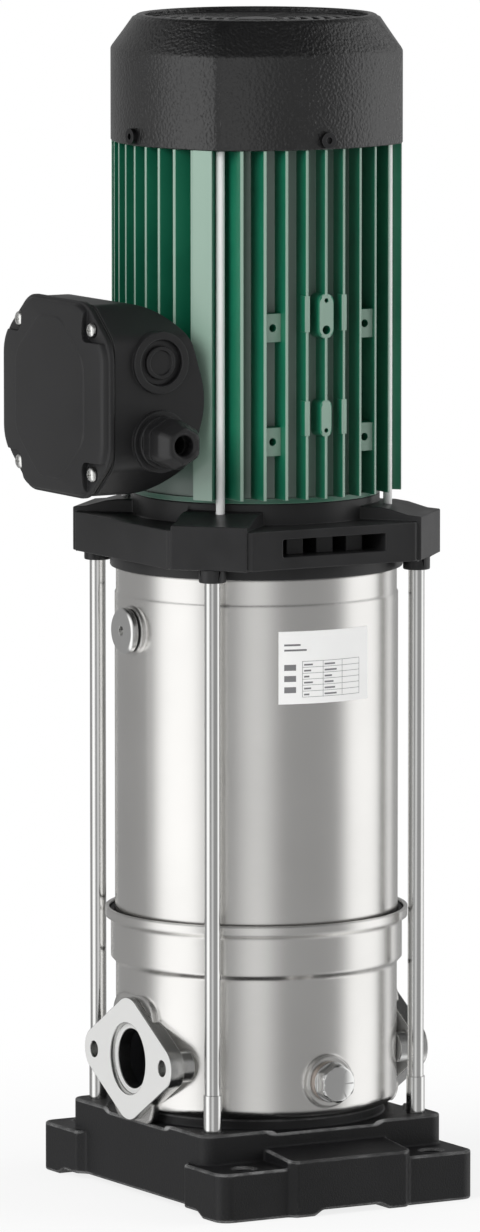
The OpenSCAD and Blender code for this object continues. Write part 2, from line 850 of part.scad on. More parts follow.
module barrel_slice(z0, z1, bare) {
    translate([0, 0, z0]) linear_extrude(z1 - z0) difference() {
        union() {
            circle(r = barrel_r);
            fin_plan(bare);
        }
        circle(r = barrel_in);
    }
}

// Finned motor barrel; the fins stop round the terminal box
module motor_housing() {
    box_top = box_cz + box_half_h + 1;
    color(green) difference() {
        union() {
            tube(ring_r, barrel_in, motor_z, motor_z + ring_h);
            barrel_slice(motor_z + ring_h, box_top, true);
            barrel_slice(box_top, barrel_top, false);
            at_foot_pads() translate([-pad_w / 2, -pad_front(), -pad_h / 2]) cube([pad_w, 8, pad_h]);
            for (z = [[pad_high + 3.5, 24], [pad_low + 8, 18]]) middle_pad(z[0], z[1]);
            for (x = [-1, 1], z = [[pad_high - 9.5, 27], [pad_low - 3, 20]])
                translate([x * fin_pitch - fin_t, -tip_at(fin_pitch), motor_z + z[0]])
                    cube([2 * fin_t, 5, z[1]]);
        }
        bar_x(wire_r, -barrel_r - 5, -barrel_in + 5, box_cz - wire_drop);
        at_foot_pads() {
            bar_y(pad_hole_d / 2, pad_front() - 12, pad_front() + 4, 0);
            translate([-pad_w / 2, -fin_reach - 1, -pad_h / 2])
                cube([pad_w, fin_reach + 1 - pad_front(), pad_h]);
        }
    }
}

module at_foot_pads() {
    for (x = [-1, 1], z = [pad_low, pad_high]) translate([x * 2.5 * fin_pitch, 0, motor_z + z]) children();
}

// The foot pads are faced a little behind the fin tips beside them
function pad_front() = sqrt(face_r * face_r - pow(2.5 * fin_pitch + pad_w / 2, 2)) - face_back - pad_inset;

// How far the fin tips reach at a distance u from the middle of a face
function tip_at(u) = sqrt(face_r * face_r - u * u) - face_back;

module middle_pad(z, h) {
    translate([0, -fin_reach + 5.5, motor_z + z - 4.5]) rotate([90, 0, 0]) linear_extrude(5.4)
        band([[0, -h / 2 + 3.5, 3.5], [0, h / 2 - 3.5, 3.5]]);
}

module stator_core() {
    color(iron) translate([0, 0, iron_z]) linear_extrude(iron_l) difference() {
        circle(r = barrel_in - fit);
        circle(r = rotor_r + air_gap);
        for (k = [0:23]) rotate(k * 15) translate([slot_in, -slot_w / 2]) square([slot_l, slot_w]);
    }
}

module stator_windings() {
    r0 = slot_in + coil_gap;
    r1 = slot_in + slot_l - coil_gap;
    coil_w = slot_w - 2 * coil_gap;
    color(copper) {
        translate([0, 0, iron_z - coil_over + 4]) linear_extrude(iron_l + 2 * coil_over - 8)
            for (k = [0:23]) rotate(k * 15) translate([r0, -coil_w / 2]) square([r1 - r0, coil_w]);
        tube(r1, r0, iron_z - coil_over, iron_z - 2);
        tube(r1, r0, iron_z + iron_l + 2, iron_z + iron_l + coil_over);
    }
}

module rotor_core() {
    color(iron) tube(rotor_r, motor_shaft_r + fit, iron_z, iron_z + iron_l);
    color(zinc) for (z = [iron_z - 8, iron_z + iron_l]) tube(rotor_r - 1, rotor_r - 12, z, z + 8);
}

module drive_end_shield() {
    hub = bearing_r + fit + 5;
    color(iron) difference() {
        union() {
            rod(barrel_in - fit, motor_z, motor_z + shield_t);
            rod(hub, motor_z, low_bearing_z + bearing_w);
            for (k = [0:5]) rotate(k * 60) translate([hub - 2, -2, motor_z])
                cube([barrel_in - hub - 4, 4, shield_t + 6]);
        }
        rod(bearing_r + fit, low_bearing_z, low_bearing_z + bearing_w + 1);
        rod(bearing_r - race_t + 0.4, motor_z - 1, low_bearing_z + 1);
    }
}

module fan_end_shield() {
    hub = bearing_r + fit + 5;
    seat = cover_proud - cover_t - fit;
    lug_h = 10;
    ear_h = 4;
    root = barrel_r - 8;
    color(iron) difference() {
        union() {
            rod(barrel_in - fit, barrel_top - 6, barrel_top);
            rod(hub, high_bearing_z, barrel_top);
            rod(barrel_r - 2, barrel_top, barrel_top + 3);
            // Lugs and ears end on the inside of the fan cover
            intersection() {
                union() {
                    for (a = [0:90:270]) rotate(a) translate([root, -6, barrel_top]) cube([30, 12, lug_h]);
                    for (a = [45:90:315]) rotate(a) translate([root, -6, barrel_top])
                        cube([stud_r + 4 - root, 12, ear_h]);
                }
                translate([0, 0, barrel_top - 1]) linear_extrude(lug_h + 2) face_outline(seat);
            }
        }
        rod(bearing_r + fit, high_bearing_z - 1, high_bearing_z + bearing_w);
        rod(bearing_r - race_t + 0.4, high_bearing_z, barrel_top + 5);
        at_studs() rod(stud_d / 2 + fit, barrel_top - 2, barrel_top + 8);
        for (a = [0:90:270]) rotate(a) translate([fin_reach + seat - 9, 0, barrel_top + lug_h / 2])
            rotate([0, 90, 0]) cylinder(d = 3.4, h = 12);
    }
}

module at_bearings() {
    for (z = [low_bearing_z, high_bearing_z]) translate([0, 0, z]) children();
}

module bearing_outer_rings() {
    color(polished) at_bearings() difference() {
        tube(bearing_r, bearing_r - race_t, 0, bearing_w);
        groove();
    }
}

module bearing_inner_rings() {
    color(polished) at_bearings() difference() {
        tube(motor_shaft_r + race_t, motor_shaft_r + fit, 0, bearing_w);
        groove();
    }
}

// Ball track, cut from both rings
module groove() {
    rotate_extrude() translate([ball_circle, bearing_w / 2]) circle(r = ball_d / 2 + bush_gap, $fn = 32);
}

module bearing_balls() {
    color(polished) at_bearings() for (k = [0:7]) rotate(k * 45) translate([ball_circle, 0, bearing_w / 2])
        sphere(d = ball_d, $fn = 32);
}

module motor_studs() {
    color(zinc) at_studs() rod(stud_d / 2, wall_z - 5, barrel_top + 9);
}

module stud_nuts() {
    color(zinc) at_studs() translate([0, 0, barrel_top + 4]) difference() {
        hex(stud_d * 1.75, 3.2);
        translate([0, 0, -1]) cylinder(d = stud_d + 2 * fit, h = 6);
    }
}

module shoulder(inset) {
    translate([0, 0, shoulder_z - inset * 0.4]) hull() {
        linear_extrude(0.02) face_outline(cover_proud - inset);
        translate([0, 0, shoulder_h - 0.02]) linear_extrude(0.02) circle(r = rim_r - inset, $fn = 128);
    }
}

// Fan cover with its curved sides, sloped shoulder and round grille
module fan_cover() {
    grille_z = cover_top - 5;
    rings = floor((rim_r - cover_t - 10) / grille_pitch);
    screw_z = barrel_top + 5;
    color(black) difference() {
        union() {
            translate([0, 0, barrel_top]) linear_extrude(shoulder_z - barrel_top) face_outline(cover_proud);
            shoulder(0);
        }
        difference() {
            union() {
                translate([0, 0, barrel_top - 1]) linear_extrude(shoulder_z - barrel_top + 1)
                    face_outline(cover_proud - cover_t);
                shoulder(cover_t);
                rod(rim_r - cover_t, cover_top - 3, cover_top + 1);
            }
            translate([0, 0, grille_z]) linear_extrude(2.4) difference() {
                circle(r = rim_r + 6);
                difference() {
                    for (k = [0:rings - 1]) difference() {
                        circle(r = 10 + (k + 1) * grille_pitch - grille_bar / 2);
                        circle(r = 10 + k * grille_pitch + grille_bar / 2);
                    }
                    for (a = [0:45:135]) rotate(a) square([2 * rim_r, 3], center = true);
                }
            }
        }
        for (a = [0:90:270]) rotate(a) translate([fin_reach - 5, 0, screw_z]) rotate([0, 90, 0])
            cylinder(d = 4.4, h = 12);
    }
}

module fan_cover_screws() {
    seat = fin_reach + cover_proud;
    color(rubber) for (a = [0:90:270]) rotate(a) translate([seat, 0, barrel_top + 5]) rotate([0, 90, 0])
        difference() {
            union() {
                cylinder(d = 8.6, h = 2.6);
                translate([0, 0, -10]) cylinder(d = 3.2, h = 11);
            }
            translate([0, 0, 1]) hex(3.4, 3);
        }
}

// Terminal box outline seen along X
module box_outline(grow) {
    w = box_half_w + grow;
    h = box_half_h + grow;
    r = 13 + grow;
    u = w - r;
    v = h - r;
    cut_u = u - 13;
    cut_v = v - 11;
    band([
        [cut_u, -v, r], [u, -cut_v, r], [u, cut_v, r], [cut_u, v, r],
        [-cut_u, v, r], [-u, cut_v, r], [-u, -cut_v, r], [-cut_u, -v, r]
    ]);
}

// Terminal box side view: straight at the lid, bulging towards the motor
module box_profile(inset) {
    h = box_half_h - inset;
    joint = -box_joint - 4;
    back = -box_back - inset;
    r = 32 - inset;
    big = 46;
    shift = back - r - 5;
    band([
        [joint, -h + 1, 1], [shift, -h + r, r], [back - big, 0, big], [shift, h - r, r], [joint, h - 1, 1]
    ]);
}

module box_solid(inset, front) {
    intersection() {
        translate([-front, 0, box_cz]) rotate([90, 0, 90]) linear_extrude(front - box_back + 1)
            box_outline(-inset);
        translate([0, box_half_w + 5, box_cz]) rotate([90, 0, 0]) linear_extrude(2 * box_half_w + 10)
            box_profile(inset);
    }
}

module terminal_box() {
    wall_y = box_half_w;
    color(black) difference() {
        union() {
            box_solid(0, box_joint);
            translate([-box_back - 14, -30, box_cz - 34]) cube([30, 60, 68]);
            for (z = [-entry_z, entry_z]) translate([-entry_x, 0, 0])
                bar_y(16.5, wall_y - 6, wall_y + 2.4, box_cz + z);
        }
        difference() {
            intersection() {
                box_solid(box_t, box_joint + 1);
                translate([-box_joint - 2, -box_half_w, 0])
                    cube([box_joint + 2 - cavity_back, 2 * box_half_w, cover_top]);
            }
            lid_posts();
        }
        rod(barrel_r + fit, motor_z, barrel_top);
        for (z = [-entry_z, entry_z]) translate([-entry_x, 0, 0])
            bar_y(entry_d / 2, wall_y - 8, wall_y + 6, box_cz + z);
        translate([-entry_x, 0, 0]) bar_y(12.5, wall_y - 1, wall_y + 6, box_cz + entry_z);
        bar_x(wire_r, -box_back - 20, -barrel_r + 20, box_cz - wire_drop);
        at_lid_screws() translate([0, 0, -1]) cylinder(d = 3.2, h = 14);
    }
}

module at_lid_screws() {
    for (y = [-lid_screw_y / 2, lid_screw_y / 2], z = [-lid_screw_z / 2, lid_screw_z / 2])
        translate([-box_joint, y, box_cz + z]) rotate([0, 90, 0]) children();
}

module lid_posts() {
    at_lid_screws() translate([0, 0, -2]) cylinder(r = 6.5, h = 22);
}

module lid_gasket() {
    color(rubber) translate([-box_joint - gasket_t, 0, box_cz]) rotate([90, 0, 90]) linear_extrude(gasket_t)
        difference() {
            box_outline(-0.6);
            difference() {
                box_outline(-box_t);
                lid_screw_plan(6.5);
            }
            lid_screw_plan(2.1);
        }
}

// Circles at the lid screws, in the plane of the joint
module lid_screw_plan(r) {
    for (y = [-1, 1], z = [-1, 1]) translate([y * lid_screw_y / 2, z * lid_screw_z / 2]) circle(r = r);
}

// Lid: a rim, sloped flanks and a raised flat panel, with a pocket at each screw
module terminal_lid() {
    joint = box_joint + gasket_t;
    rim = 3;
    color(black) difference() {
        union() {
            translate([-joint - rim, 0, box_cz]) rotate([90, 0, 90]) linear_extrude(rim) box_outline(1.6);
            lid_dome(joint + rim - 0.6, joint + lid_depth, 0.6);
        }
        lid_dome(joint - 2, joint + lid_depth - 2.4, -2);
        at_lid_screws() translate([0, 0, -gasket_t - rim - 30.6]) cylinder(r = 6, h = 30);
        at_lid_screws() translate([0, 0, -20]) cylinder(d = 4.4, h = 22);
    }
}

module lid_dome(x0, x1, grow) {
    hull() for (level = [[x0, grow], [x1, grow - 11]])
        translate([-level[0], 0, box_cz]) rotate([90, 0, 90]) linear_extrude(0.3)
            box_outline(level[1], $fn = 32);
}

module lid_screws() {
    color(zinc) at_lid_screws() translate([0, 0, -gasket_t - 3.6]) difference() {
        union() {
            translate([0, 0, -2.6]) cylinder(d = 8, h = 2.6);
            cylinder(d = 3.1, h = 13);
        }
        for (a = [0, 90]) rotate(a) translate([-2.2, -0.5, -3]) cube([4.4, 1, 1.8]);
    }
}

// Terminal block on the back wall of the box: three pairs of studs in wells
module terminal_block() {
    depth = 16;
    front = cavity_back + fit + depth;
    well = 5;
    stud_l = 9;
    color(resin) difference() {
        translate([-front, -26, box_cz - 14]) cube([depth, 52, 28]);
        for (y = [-16, 0, 16]) translate([-front - 1, y - 6, box_cz - 11]) cube([well + 1, 12, 22]);
    }
    color(brass) for (y = [-16, 0, 16], z = [-6, 6])
        translate([0, y, 0]) bar_x(2, -front + well - stud_l, -front + well + 0.1, box_cz + z);
}

// Cable gland: body through the wall, dome nut and rubber insert
module at_gland() {
    translate([-entry_x, -box_half_w - 2.4, box_cz - entry_z]) rotate([90, 0, 0]) children();
}

module cable_gland_body() {
    color(black) at_gland() difference() {
        union() {
            translate([0, 0, -12]) cylinder(d = entry_d - 2 * fit, h = 13);
            cylinder(d = gland_af + 3, h = 2.4);
            translate([0, 0, 2.4]) hex(gland_af, 6.4);
            cylinder(d = gland_af - 5, h = 15);
        }
        translate([0, 0, -13]) cylinder(d = gland_bore + 4, h = 40);
    }
}

module cable_gland_nut() {
    color(black) at_gland() difference() {
        union() {
            translate([0, 0, 9]) hex(gland_af - 0.6, 8);
            translate([0, 0, 17]) intersection() {
                cylinder(r1 = gland_af / 2 + 1, r2 = gland_bore / 2 + 3, h = 8);
                hex(gland_af - 0.6, 8);
            }
        }
        translate([0, 0, 8.9]) cylinder(d = gland_af - 5 + 2 * fit, h = 7);
        translate([0, 0, 8]) cylinder(d = gland_bore + 1, h = 30);
    }
}

module gland_seal() {
    color(rubber) at_gland() difference() {
        translate([0, 0, 4]) cylinder(d = gland_bore + 4 - 2 * fit, h = 11.6);
        translate([0, 0, 3]) cylinder(d = gland_bore, h = 14);
    }
}

module blanking_plug() {
    color(black) translate([-entry_x, -box_half_w + 1, box_cz + entry_z]) rotate([90, 0, 0]) {
        translate([0, 0, -8]) cylinder(d = entry_d - 2 * fit, h = 8.5);
        difference() {
            cylinder(d = entry_d + 3, h = 2.6);
            translate([0, 0, 1.6]) tube(entry_d / 2, entry_d / 2 - 1.4, 0, 3);
        }
    }
}

module pump_shaft() {
    color(polished) difference() {
        rod(shaft_r, shaft_z - 2, pump_shaft_top);
        translate([0, 0, shaft_z - 3]) cylinder(d = 3, h = 4);
    }
}

module shaft_spacers() {
    color(steel) for (i = [0:stages - 1]) {
        z0 = stage_z + i * stage_pitch + impeller_lift + hub_h;
        z1 = i < stages - 1 ? stage_z + (i + 1) * stage_pitch + impeller_lift : head_z - 16;
        tube(spacer_r, shaft_r + fit, z0, z1);
    }
}

module coupling_halves() {
    color(iron) difference() {
        tube(coupling_r, shaft_r + fit, coupling_z, coupling_z + coupling_h);
        translate([-50, -0.8, coupling_z - 1]) cube([100, 1.6, 60]);
        at_coupling_screws() {
            translate([0, 0, -30]) cylinder(d = 5.2, h = 60);
            translate([0, 0, 8]) cylinder(d = 9.4, h = 20);
            translate([0, 0, -28]) cylinder(d = 9.4, h = 20);
        }
    }
}

module at_coupling_screws() {
    for (x = [-1, 1], z = [0.25, 0.75]) translate([x * 14.6, 0, coupling_z + coupling_h * z])
        rotate([90, 0, 0]) children();
}

module coupling_screws() {
    color(zinc) at_coupling_screws() {
        translate([0, 0, -9.5]) cylinder(d = 5, h = 17.5);
        translate([0, 0, 8]) difference() {
            cylinder(d = 8.5, h = 4.6);
            translate([0, 0, 2]) hex(4, 4);
        }
    }
}

module motor_shaft() {
    color(polished) {
        rod(stub_r, pump_shaft_top + 2, low_bearing_z - 2);
        rod(motor_shaft_r, low_bearing_z - 2, high_bearing_z + bearing_w + 2);
        rod(motor_shaft_r - 2, high_bearing_z + bearing_w + 2, fan_z + 22);
    }
}

// Cooling fan with straight blades
module cooling_fan() {
    bore = motor_shaft_r - 2;
    color(black) difference() {
        union() {
            rod(bore + 5, fan_z, fan_z + 18);
            rod(fan_r, fan_z, fan_z + 2.4);
            for (k = [0:fan_blades - 1]) rotate(k * 360 / fan_blades) translate([bore + 3, -1, fan_z + 1])
                cube([fan_r - bore - 5, 2, 17]);
        }
        rod(bore + fit, fan_z - 1, fan_z + 20);
    }
}

// Drain plug and its seal ring, pointing along -Y
module drain_plug() {
    seat = drain_face + plug_seal_t;
    color(polished) translate([0, -seat, drain_h]) rotate([90, 0, 0]) {
        translate([0, 0, -plug_thread_l]) cylinder(d = drain_d, h = plug_thread_l + 1);
        cylinder(d = drain_af + 3, h = 1.4);
        intersection() {
            hex(drain_af, drain_head);
            cylinder(r1 = drain_af / 2 + drain_head * 0.9 + 1, r2 = drain_af / 2 + 0.4, h = drain_head);
        }
    }
}

module drain_plug_seal() {
    color(copper) translate([0, -drain_face, drain_h]) rotate([90, 0, 0])
        tube(drain_af / 2 + 1.2, drain_d / 2 + fit, 0, plug_seal_t);
}

// Vent plug and its seal ring, pointing along -X
module vent_plug() {
    seat = vent_face + plug_seal_t;
    color(polished) translate([-seat, 0, vent_h]) rotate([0, -90, 0]) difference() {
        union() {
            translate([0, 0, -plug_thread_l]) cylinder(d = vent_d, h = plug_thread_l + 1);
            cylinder(d = vent_head_d, h = vent_head - 1.2);
            translate([0, 0, vent_head - 1.2]) cylinder(d1 = vent_head_d, d2 = vent_head_d - 2.4, h = 1.2);
        }
        translate([0, 0, vent_head - 3]) hex(5, 4);
    }
}

module vent_plug_seal() {
    color(rubber) translate([-vent_face, 0, vent_h]) rotate([0, -90, 0])
        tube(vent_head_d / 2 - 1, vent_d / 2 + fit, 0, plug_seal_t);
}

base_plate();
pump_housing();
suction_flange();
discharge_flange();
jacket_tube();
jacket_seals();
intake_insert();
lower_bush();
stage_casing(0);  // stage_casing_1
stage_casing(1);  // stage_casing_2
stage_casing(2);  // stage_casing_3
stage_casing(3);  // stage_casing_4
stage_casing(4);  // stage_casing_5
stage_casing(5);  // stage_casing_6
discharge_ring();
pump_head();
tie_rods();
tie_rod_nuts();
tie_rod_washers();
lantern();
seal_seat();
motor_housing();
stator_core();
stator_windings();
drive_end_shield();
fan_end_shield();
bearing_outer_rings();
bearing_balls();
motor_studs();
stud_nuts();
fan_cover();
fan_cover_screws();
terminal_box();
lid_gasket();
terminal_lid();
lid_screws();
terminal_block();
cable_gland_body();
cable_gland_nut();
gland_seal();
blanking_plug();
pump_shaft();
impeller(0);  // impeller_1
impeller(1);  // impeller_2
impeller(2);  // impeller_3
impeller(3);  // impeller_4
impeller(4);  // impeller_5
impeller(5);  // impeller_6
shaft_spacers();
seal_rotor();
coupling_halves();
coupling_screws();
rotor_core();
motor_shaft();
bearing_inner_rings();
cooling_fan();
drain_plug();
drain_plug_seal();
vent_plug();
vent_plug_seal();
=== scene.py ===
"""Dresses a vertical multistage pump: painted castings, satin steel, moulded covers and a plain studio."""
import json
import math

import bmesh
import bpy
from mathutils import Matrix, Vector


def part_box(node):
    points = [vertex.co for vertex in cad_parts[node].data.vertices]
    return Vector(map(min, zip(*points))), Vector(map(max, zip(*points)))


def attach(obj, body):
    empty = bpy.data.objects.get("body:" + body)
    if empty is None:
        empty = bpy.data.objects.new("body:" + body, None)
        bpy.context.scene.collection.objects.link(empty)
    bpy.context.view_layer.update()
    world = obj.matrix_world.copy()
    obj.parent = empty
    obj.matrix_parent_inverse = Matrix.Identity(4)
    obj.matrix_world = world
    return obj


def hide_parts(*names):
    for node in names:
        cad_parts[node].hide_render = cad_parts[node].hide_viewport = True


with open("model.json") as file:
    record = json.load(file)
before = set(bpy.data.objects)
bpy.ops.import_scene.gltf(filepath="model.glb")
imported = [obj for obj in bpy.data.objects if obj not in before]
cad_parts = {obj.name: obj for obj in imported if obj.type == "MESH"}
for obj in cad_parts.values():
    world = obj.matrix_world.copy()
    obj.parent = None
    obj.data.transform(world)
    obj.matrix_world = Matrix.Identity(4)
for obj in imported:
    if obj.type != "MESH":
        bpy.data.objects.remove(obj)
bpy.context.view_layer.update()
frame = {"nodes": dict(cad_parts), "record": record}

bl_info = {
    "name": "Vertical Pump Finishes",
    "version": (1, 0, 0),
    "blender": (4, 5, 0),
    "location": "View3D > Sidebar > Pump",
    "description": "Builds the covers, finishes and studio round a vertical pump",
    "category": "Object",
}

MM = 0.001

_, JACKET_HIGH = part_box("jacket_tube")
BARREL_LOW, BARREL_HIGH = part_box("motor_housing")
STUDS_LOW, STUDS_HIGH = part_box("motor_studs")
COVER_LOW, COVER_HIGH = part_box("fan_cover")
LID_LOW, LID_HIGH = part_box("terminal_lid")
BOX_LOW, BOX_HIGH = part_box("terminal_box")
GLAND_LOW, GLAND_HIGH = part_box("cable_gland_body")
NUT_LOW, NUT_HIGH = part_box("cable_gland_nut")
BLANK_LOW, BLANK_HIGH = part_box("blanking_plug")
DRAIN_LOW, DRAIN_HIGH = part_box("drain_plug")
VENT_LOW, VENT_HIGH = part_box("vent_plug")
SCREWS_LOW, SCREWS_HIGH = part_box("lid_screws")
# Thread shank of both plugs, and the small radius that closes a turned end
SHANK = [(6.5 * MM, -9 * MM), (6.5 * MM, 0.0)]
PIN = 0.3 * MM
SIDES = (-1, 1)
CORNERS = [(first, second) for first in SIDES for second in SIDES]
CAST_ANGLE = 24.0
TURNED_ANGLE = 28.0
SCREW_ANGLE = 40.0


def number(name, default, description, **kind):
    """A number that a user can change."""
    return bpy.props.FloatProperty(name=name, description=description, default=default, **kind)


def length(name, default, description):
    """A length in metres that a user can change."""
    return number(name, default, description, unit="LENGTH")


def angle(name, degrees, description):
    """An angle that a user can change, with its default in degrees."""
    return number(name, math.radians(degrees), description, subtype="ANGLE")


def colour(name, description, default):
    """A colour property with its name, description and default."""
    return bpy.props.FloatVectorProperty(
        name=name, description=description, subtype="COLOR", size=3, min=0.0, max=1.0, default=default)


class PumpSizes(bpy.types.PropertyGroup):
    """Sizes of the modelled pieces that a user would change."""

    face_curve: length("Face Curve", 0.0971, "Radius of the curve that the fin tips and the fan cover follow")
    shoulder: length("Shoulder", 0.0185, "Height of the sloped shoulder of the fan cover")
    rim_radius: length("Rim Radius", 0.0653, "Radius of the round rim of the fan cover")
    grille_pitch: length("Grille Pitch", 0.0064, "Spacing of the grille rings")
    grille_bar: length("Grille Bar", 0.0026, "Width of a grille bar")
    casting_edge: length("Casting Edge", 0.0011, "Rounding of the edges of the base casting")
    lantern_edge: length("Lantern Edge", 0.0007, "Rounding of the edges of the lantern")
    fin_edge: length("Fin Edge", 0.0003, "Rounding of the edges of the motor fins")
    fin_thickness: length("Fin Thickness", 0.0016, "Thickness of a motor fin")
    fin_pitch: length("Fin Pitch", 0.01095, "Spacing of the fins on the sides")
    pad_pitch: length("Pad Pitch", 0.0113, "Spacing of the fins in front and behind")
    barrel_radius: length("Barrel Radius", 0.0647, "Radius of the motor barrel between its fins")
    stud_radius: length("Stud Radius", 0.0024, "Radius of the motor studs' shanks")
    flange_edge: length("Flange Edge", 0.0006, "Rounding of the edges of the flanges")
    label_width: length("Label Width", 0.056, "Width of the rating label round the jacket")
    label_height: length("Label Height", 0.039, "Height of the rating label")
    label_foot: length("Label Foot", 0.272, "Height of the label's lower edge above the floor")


class PumpColours(bpy.types.PropertyGroup):
    """Colours of the finishes."""

    paint: colour("Motor Paint", "Deep green of the motor", (0.008, 0.14, 0.076))
    paint_floor: colour("Paint Between Fins", "Greyer paint of the motor's barrel", (0.13, 0.2, 0.165))
    # Pale green that paints a highlight on the fin tips, the outer edges and the pad fronts
    paint_highlight: colour("Highlight Paint", "Pale green painted highlight on the fin tips, outer edges and pad fronts", (0.26, 0.38, 0.31))
    casting: colour("Casting", "Black of the cast base", (0.007, 0.007, 0.0075))
    # Lighter grey of the base's outer edges: edge wear and a painted edge highlight
    casting_edge_wear_and_highlight: colour("Casting Edge Wear And Highlight", "Grey along the base's outer edges: edge wear and a painted edge highlight", (0.3, 0.3, 0.3))
    lantern: colour("Lantern", "Charcoal of the lantern", (0.014, 0.014, 0.0145))
    moulding: colour("Moulding", "Black of the moulded covers", (0.01, 0.01, 0.0105))
    rubber: colour("Rubber", "Black of the rubber rings", (0.012, 0.012, 0.012))
    sheet: colour("Sheet Steel", "Tone of the stainless sheet", (0.8, 0.79, 0.77))
    bright: colour("Bright Steel", "Tone of turned stainless steel", (0.78, 0.78, 0.77))
    zinc: colour("Zinc", "Tone of zinc plating", (0.86, 0.86, 0.84))
    iron: colour("Grey Iron", "Tone of bare cast iron", (0.19, 0.19, 0.2))
    copper: colour("Copper", "Tone of copper", (0.7, 0.36, 0.2))
    tinned: colour("Tinned Copper", "Tone of a tinned copper ring", (0.66, 0.58, 0.53))
    bronze: colour("Bronze", "Tone of bronze", (0.55, 0.38, 0.16))
    label: colour("Label", "White of the rating label", (0.96, 0.96, 0.95))
    ink: colour("Ink", "Grey of the label's printed rules", (0.16, 0.16, 0.165))


class PumpStudio(bpy.types.PropertyGroup):
    """Camera and light of the studio."""

    azimuth: angle("Azimuth", -29.79, "Turn of the camera round the pump")
    tilt: angle("Tilt", 6.93, "How far the camera looks down")
    distance: length("Distance", 5.504, "Distance of the camera from its target")
    aim: length("Aim", 0.31035, "Height of the target above the floor")
    lens: number("Lens", 298.03, "Focal length in millimetres on a 36 mm sensor")
    shift: number("Shift", -0.0133, "Sideways shift of the lens")
    key: number("Key", 2.2, "Strength of the soft key light")
    fill: number("Fill", 0.42, "Strength of the even light from all round")


def sizes():
    """The size settings of the scene."""
    return bpy.context.scene.pump_sizes


def colours():
    """The colour settings of the scene."""
    return bpy.context.scene.pump_colours


def rgba(value):
    """An opaque colour from three channels."""
    return (*value, 1.0)


def tinted(share, base):
    """A colour times a share, with no channel over 1."""
    return tuple(min(1.0, share * channel) for channel in base)


def feed(tree, value, socket):
    """Links an input socket to another socket, or sets it to a constant."""
    if isinstance(value, bpy.types.NodeSocket):
        tree.links.new(value, socket)
    else:
        socket.default_value = value


def add_node(tree, kind, feeds=(), **settings):
    """A shader node with its settings; feeds gives its inputs by name or by number."""
    node = tree.nodes.new("ShaderNode" + kind)
    for label, value in settings.items():
        setattr(node, label, value)
    for key, value in dict(feeds).items():
        feed(tree, value, node.inputs[key])
    return node


def new_group(name, inputs, outputs):
    """A shader node group: its tree, the sockets of its inputs and those of its outputs."""
    tree = bpy.data.node_groups.new(name, "ShaderNodeTree")
    for label, default in inputs.items():
        socket = tree.interface.new_socket(label, in_out="INPUT", socket_type="NodeSocketFloat")
        socket.default_value = default
    for label, kind in outputs.items():
        tree.interface.new_socket(label, in_out="OUTPUT", socket_type="NodeSocket" + kind)
    return tree, tree.nodes.new("NodeGroupInput").outputs, tree.nodes.new("NodeGroupOutput").inputs


def math_node(tree, operation, first, second=None, clamp=False):
    """A Math node fed by sockets or plain numbers; gives its output socket."""
    feeds = {0: first} if second is None else {0: first, 1: second}
    return add_node(tree, "Math", feeds, operation=operation, use_clamp=clamp).outputs[0]


def vector_node(tree, operation, *values):
    """A Vector Math node fed by sockets or constants; gives its output sockets."""
    return add_node(tree, "VectorMath", enumerate(values), operation=operation).outputs


def range_node(tree, value, low, high, to_low=0.0, to_high=1.0, smooth=True):
    """A clamped Map Range node; gives its output socket."""
    feeds = {"Value": value, "From Min": low, "From Max": high, "To Min": to_low, "To Max": to_high}
    kind = "SMOOTHSTEP" if smooth else "LINEAR"
    return add_node(tree, "MapRange", feeds, interpolation_type=kind).outputs["Result"]


def float_mix(tree, share, first, second):
    """A number that goes from the first to the second as the share rises."""
    return add_node(tree, "Mix", {0: share, 2: first, 3: second}, data_type="FLOAT").outputs[0]


def noise_node(tree, vector, scale, detail=2.0, roughness=0.5):
    """A Noise texture in object space; gives its value."""
    feeds = {"Vector": vector, "Scale": scale, "Detail": detail, "Roughness": roughness}
    return add_node(tree, "TexNoise", feeds).outputs["Fac"]


def axes(tree, vector):
    """The X, Y and Z of a vector, as sockets."""
    return add_node(tree, "SeparateXYZ", {0: vector}).outputs


def object_point(tree):
    """The point being shaded, in the pump's own frame."""
    return add_node(tree, "TexCoord").outputs["Object"]


def facing(tree):
    """The X, Y and Z of the surface's direction, in the pump's own frame."""
    return axes(tree, add_node(tree, "TexCoord").outputs["Normal"])


def unseen_ray(tree, path):
    """1 for rays that a glossy or clear surface sends out."""
    return math_node(tree, "MAXIMUM", path["Is Glossy Ray"], path["Is Transmission Ray"])


def edge_group():
    """Soft Edges: a rounded normal and a mask that is 1 along outer edges."""
    tree, given, result = new_group(
        "Soft Edges", {"Radius": 0.001, "Edge Line Width": 0.001, "Patch Scale": 60.0, "Patch Depth": 0.5},
        {"Mask": "Float", "Normal": "Vector"})
    soft = add_node(tree, "Bevel", {"Radius": given["Radius"]}, samples=4)
    inside = add_node(
        tree, "AmbientOcclusion", {"Distance": given["Edge Line Width"]}, inside=True, only_local=True, samples=8)
    # This line along outer edges takes a lighter colour: a painted edge highlight, on the castings also edge
    # wear
    line = range_node(tree, math_node(tree, "SUBTRACT", 1.0, inside.outputs["AO"]), 0.14, 0.32)
    patch = noise_node(tree, object_point(tree), given["Patch Scale"], 3.0, 0.6)
    missing = math_node(tree, "SUBTRACT", 1.0, range_node(tree, patch, 0.35, 0.65))
    kept = math_node(tree, "SUBTRACT", 1.0, math_node(tree, "MULTIPLY", missing, given["Patch Depth"]))
    feed(tree, math_node(tree, "MULTIPLY", line, kept, clamp=True), result["Mask"])
    feed(tree, soft.outputs["Normal"], result["Normal"])
    return tree


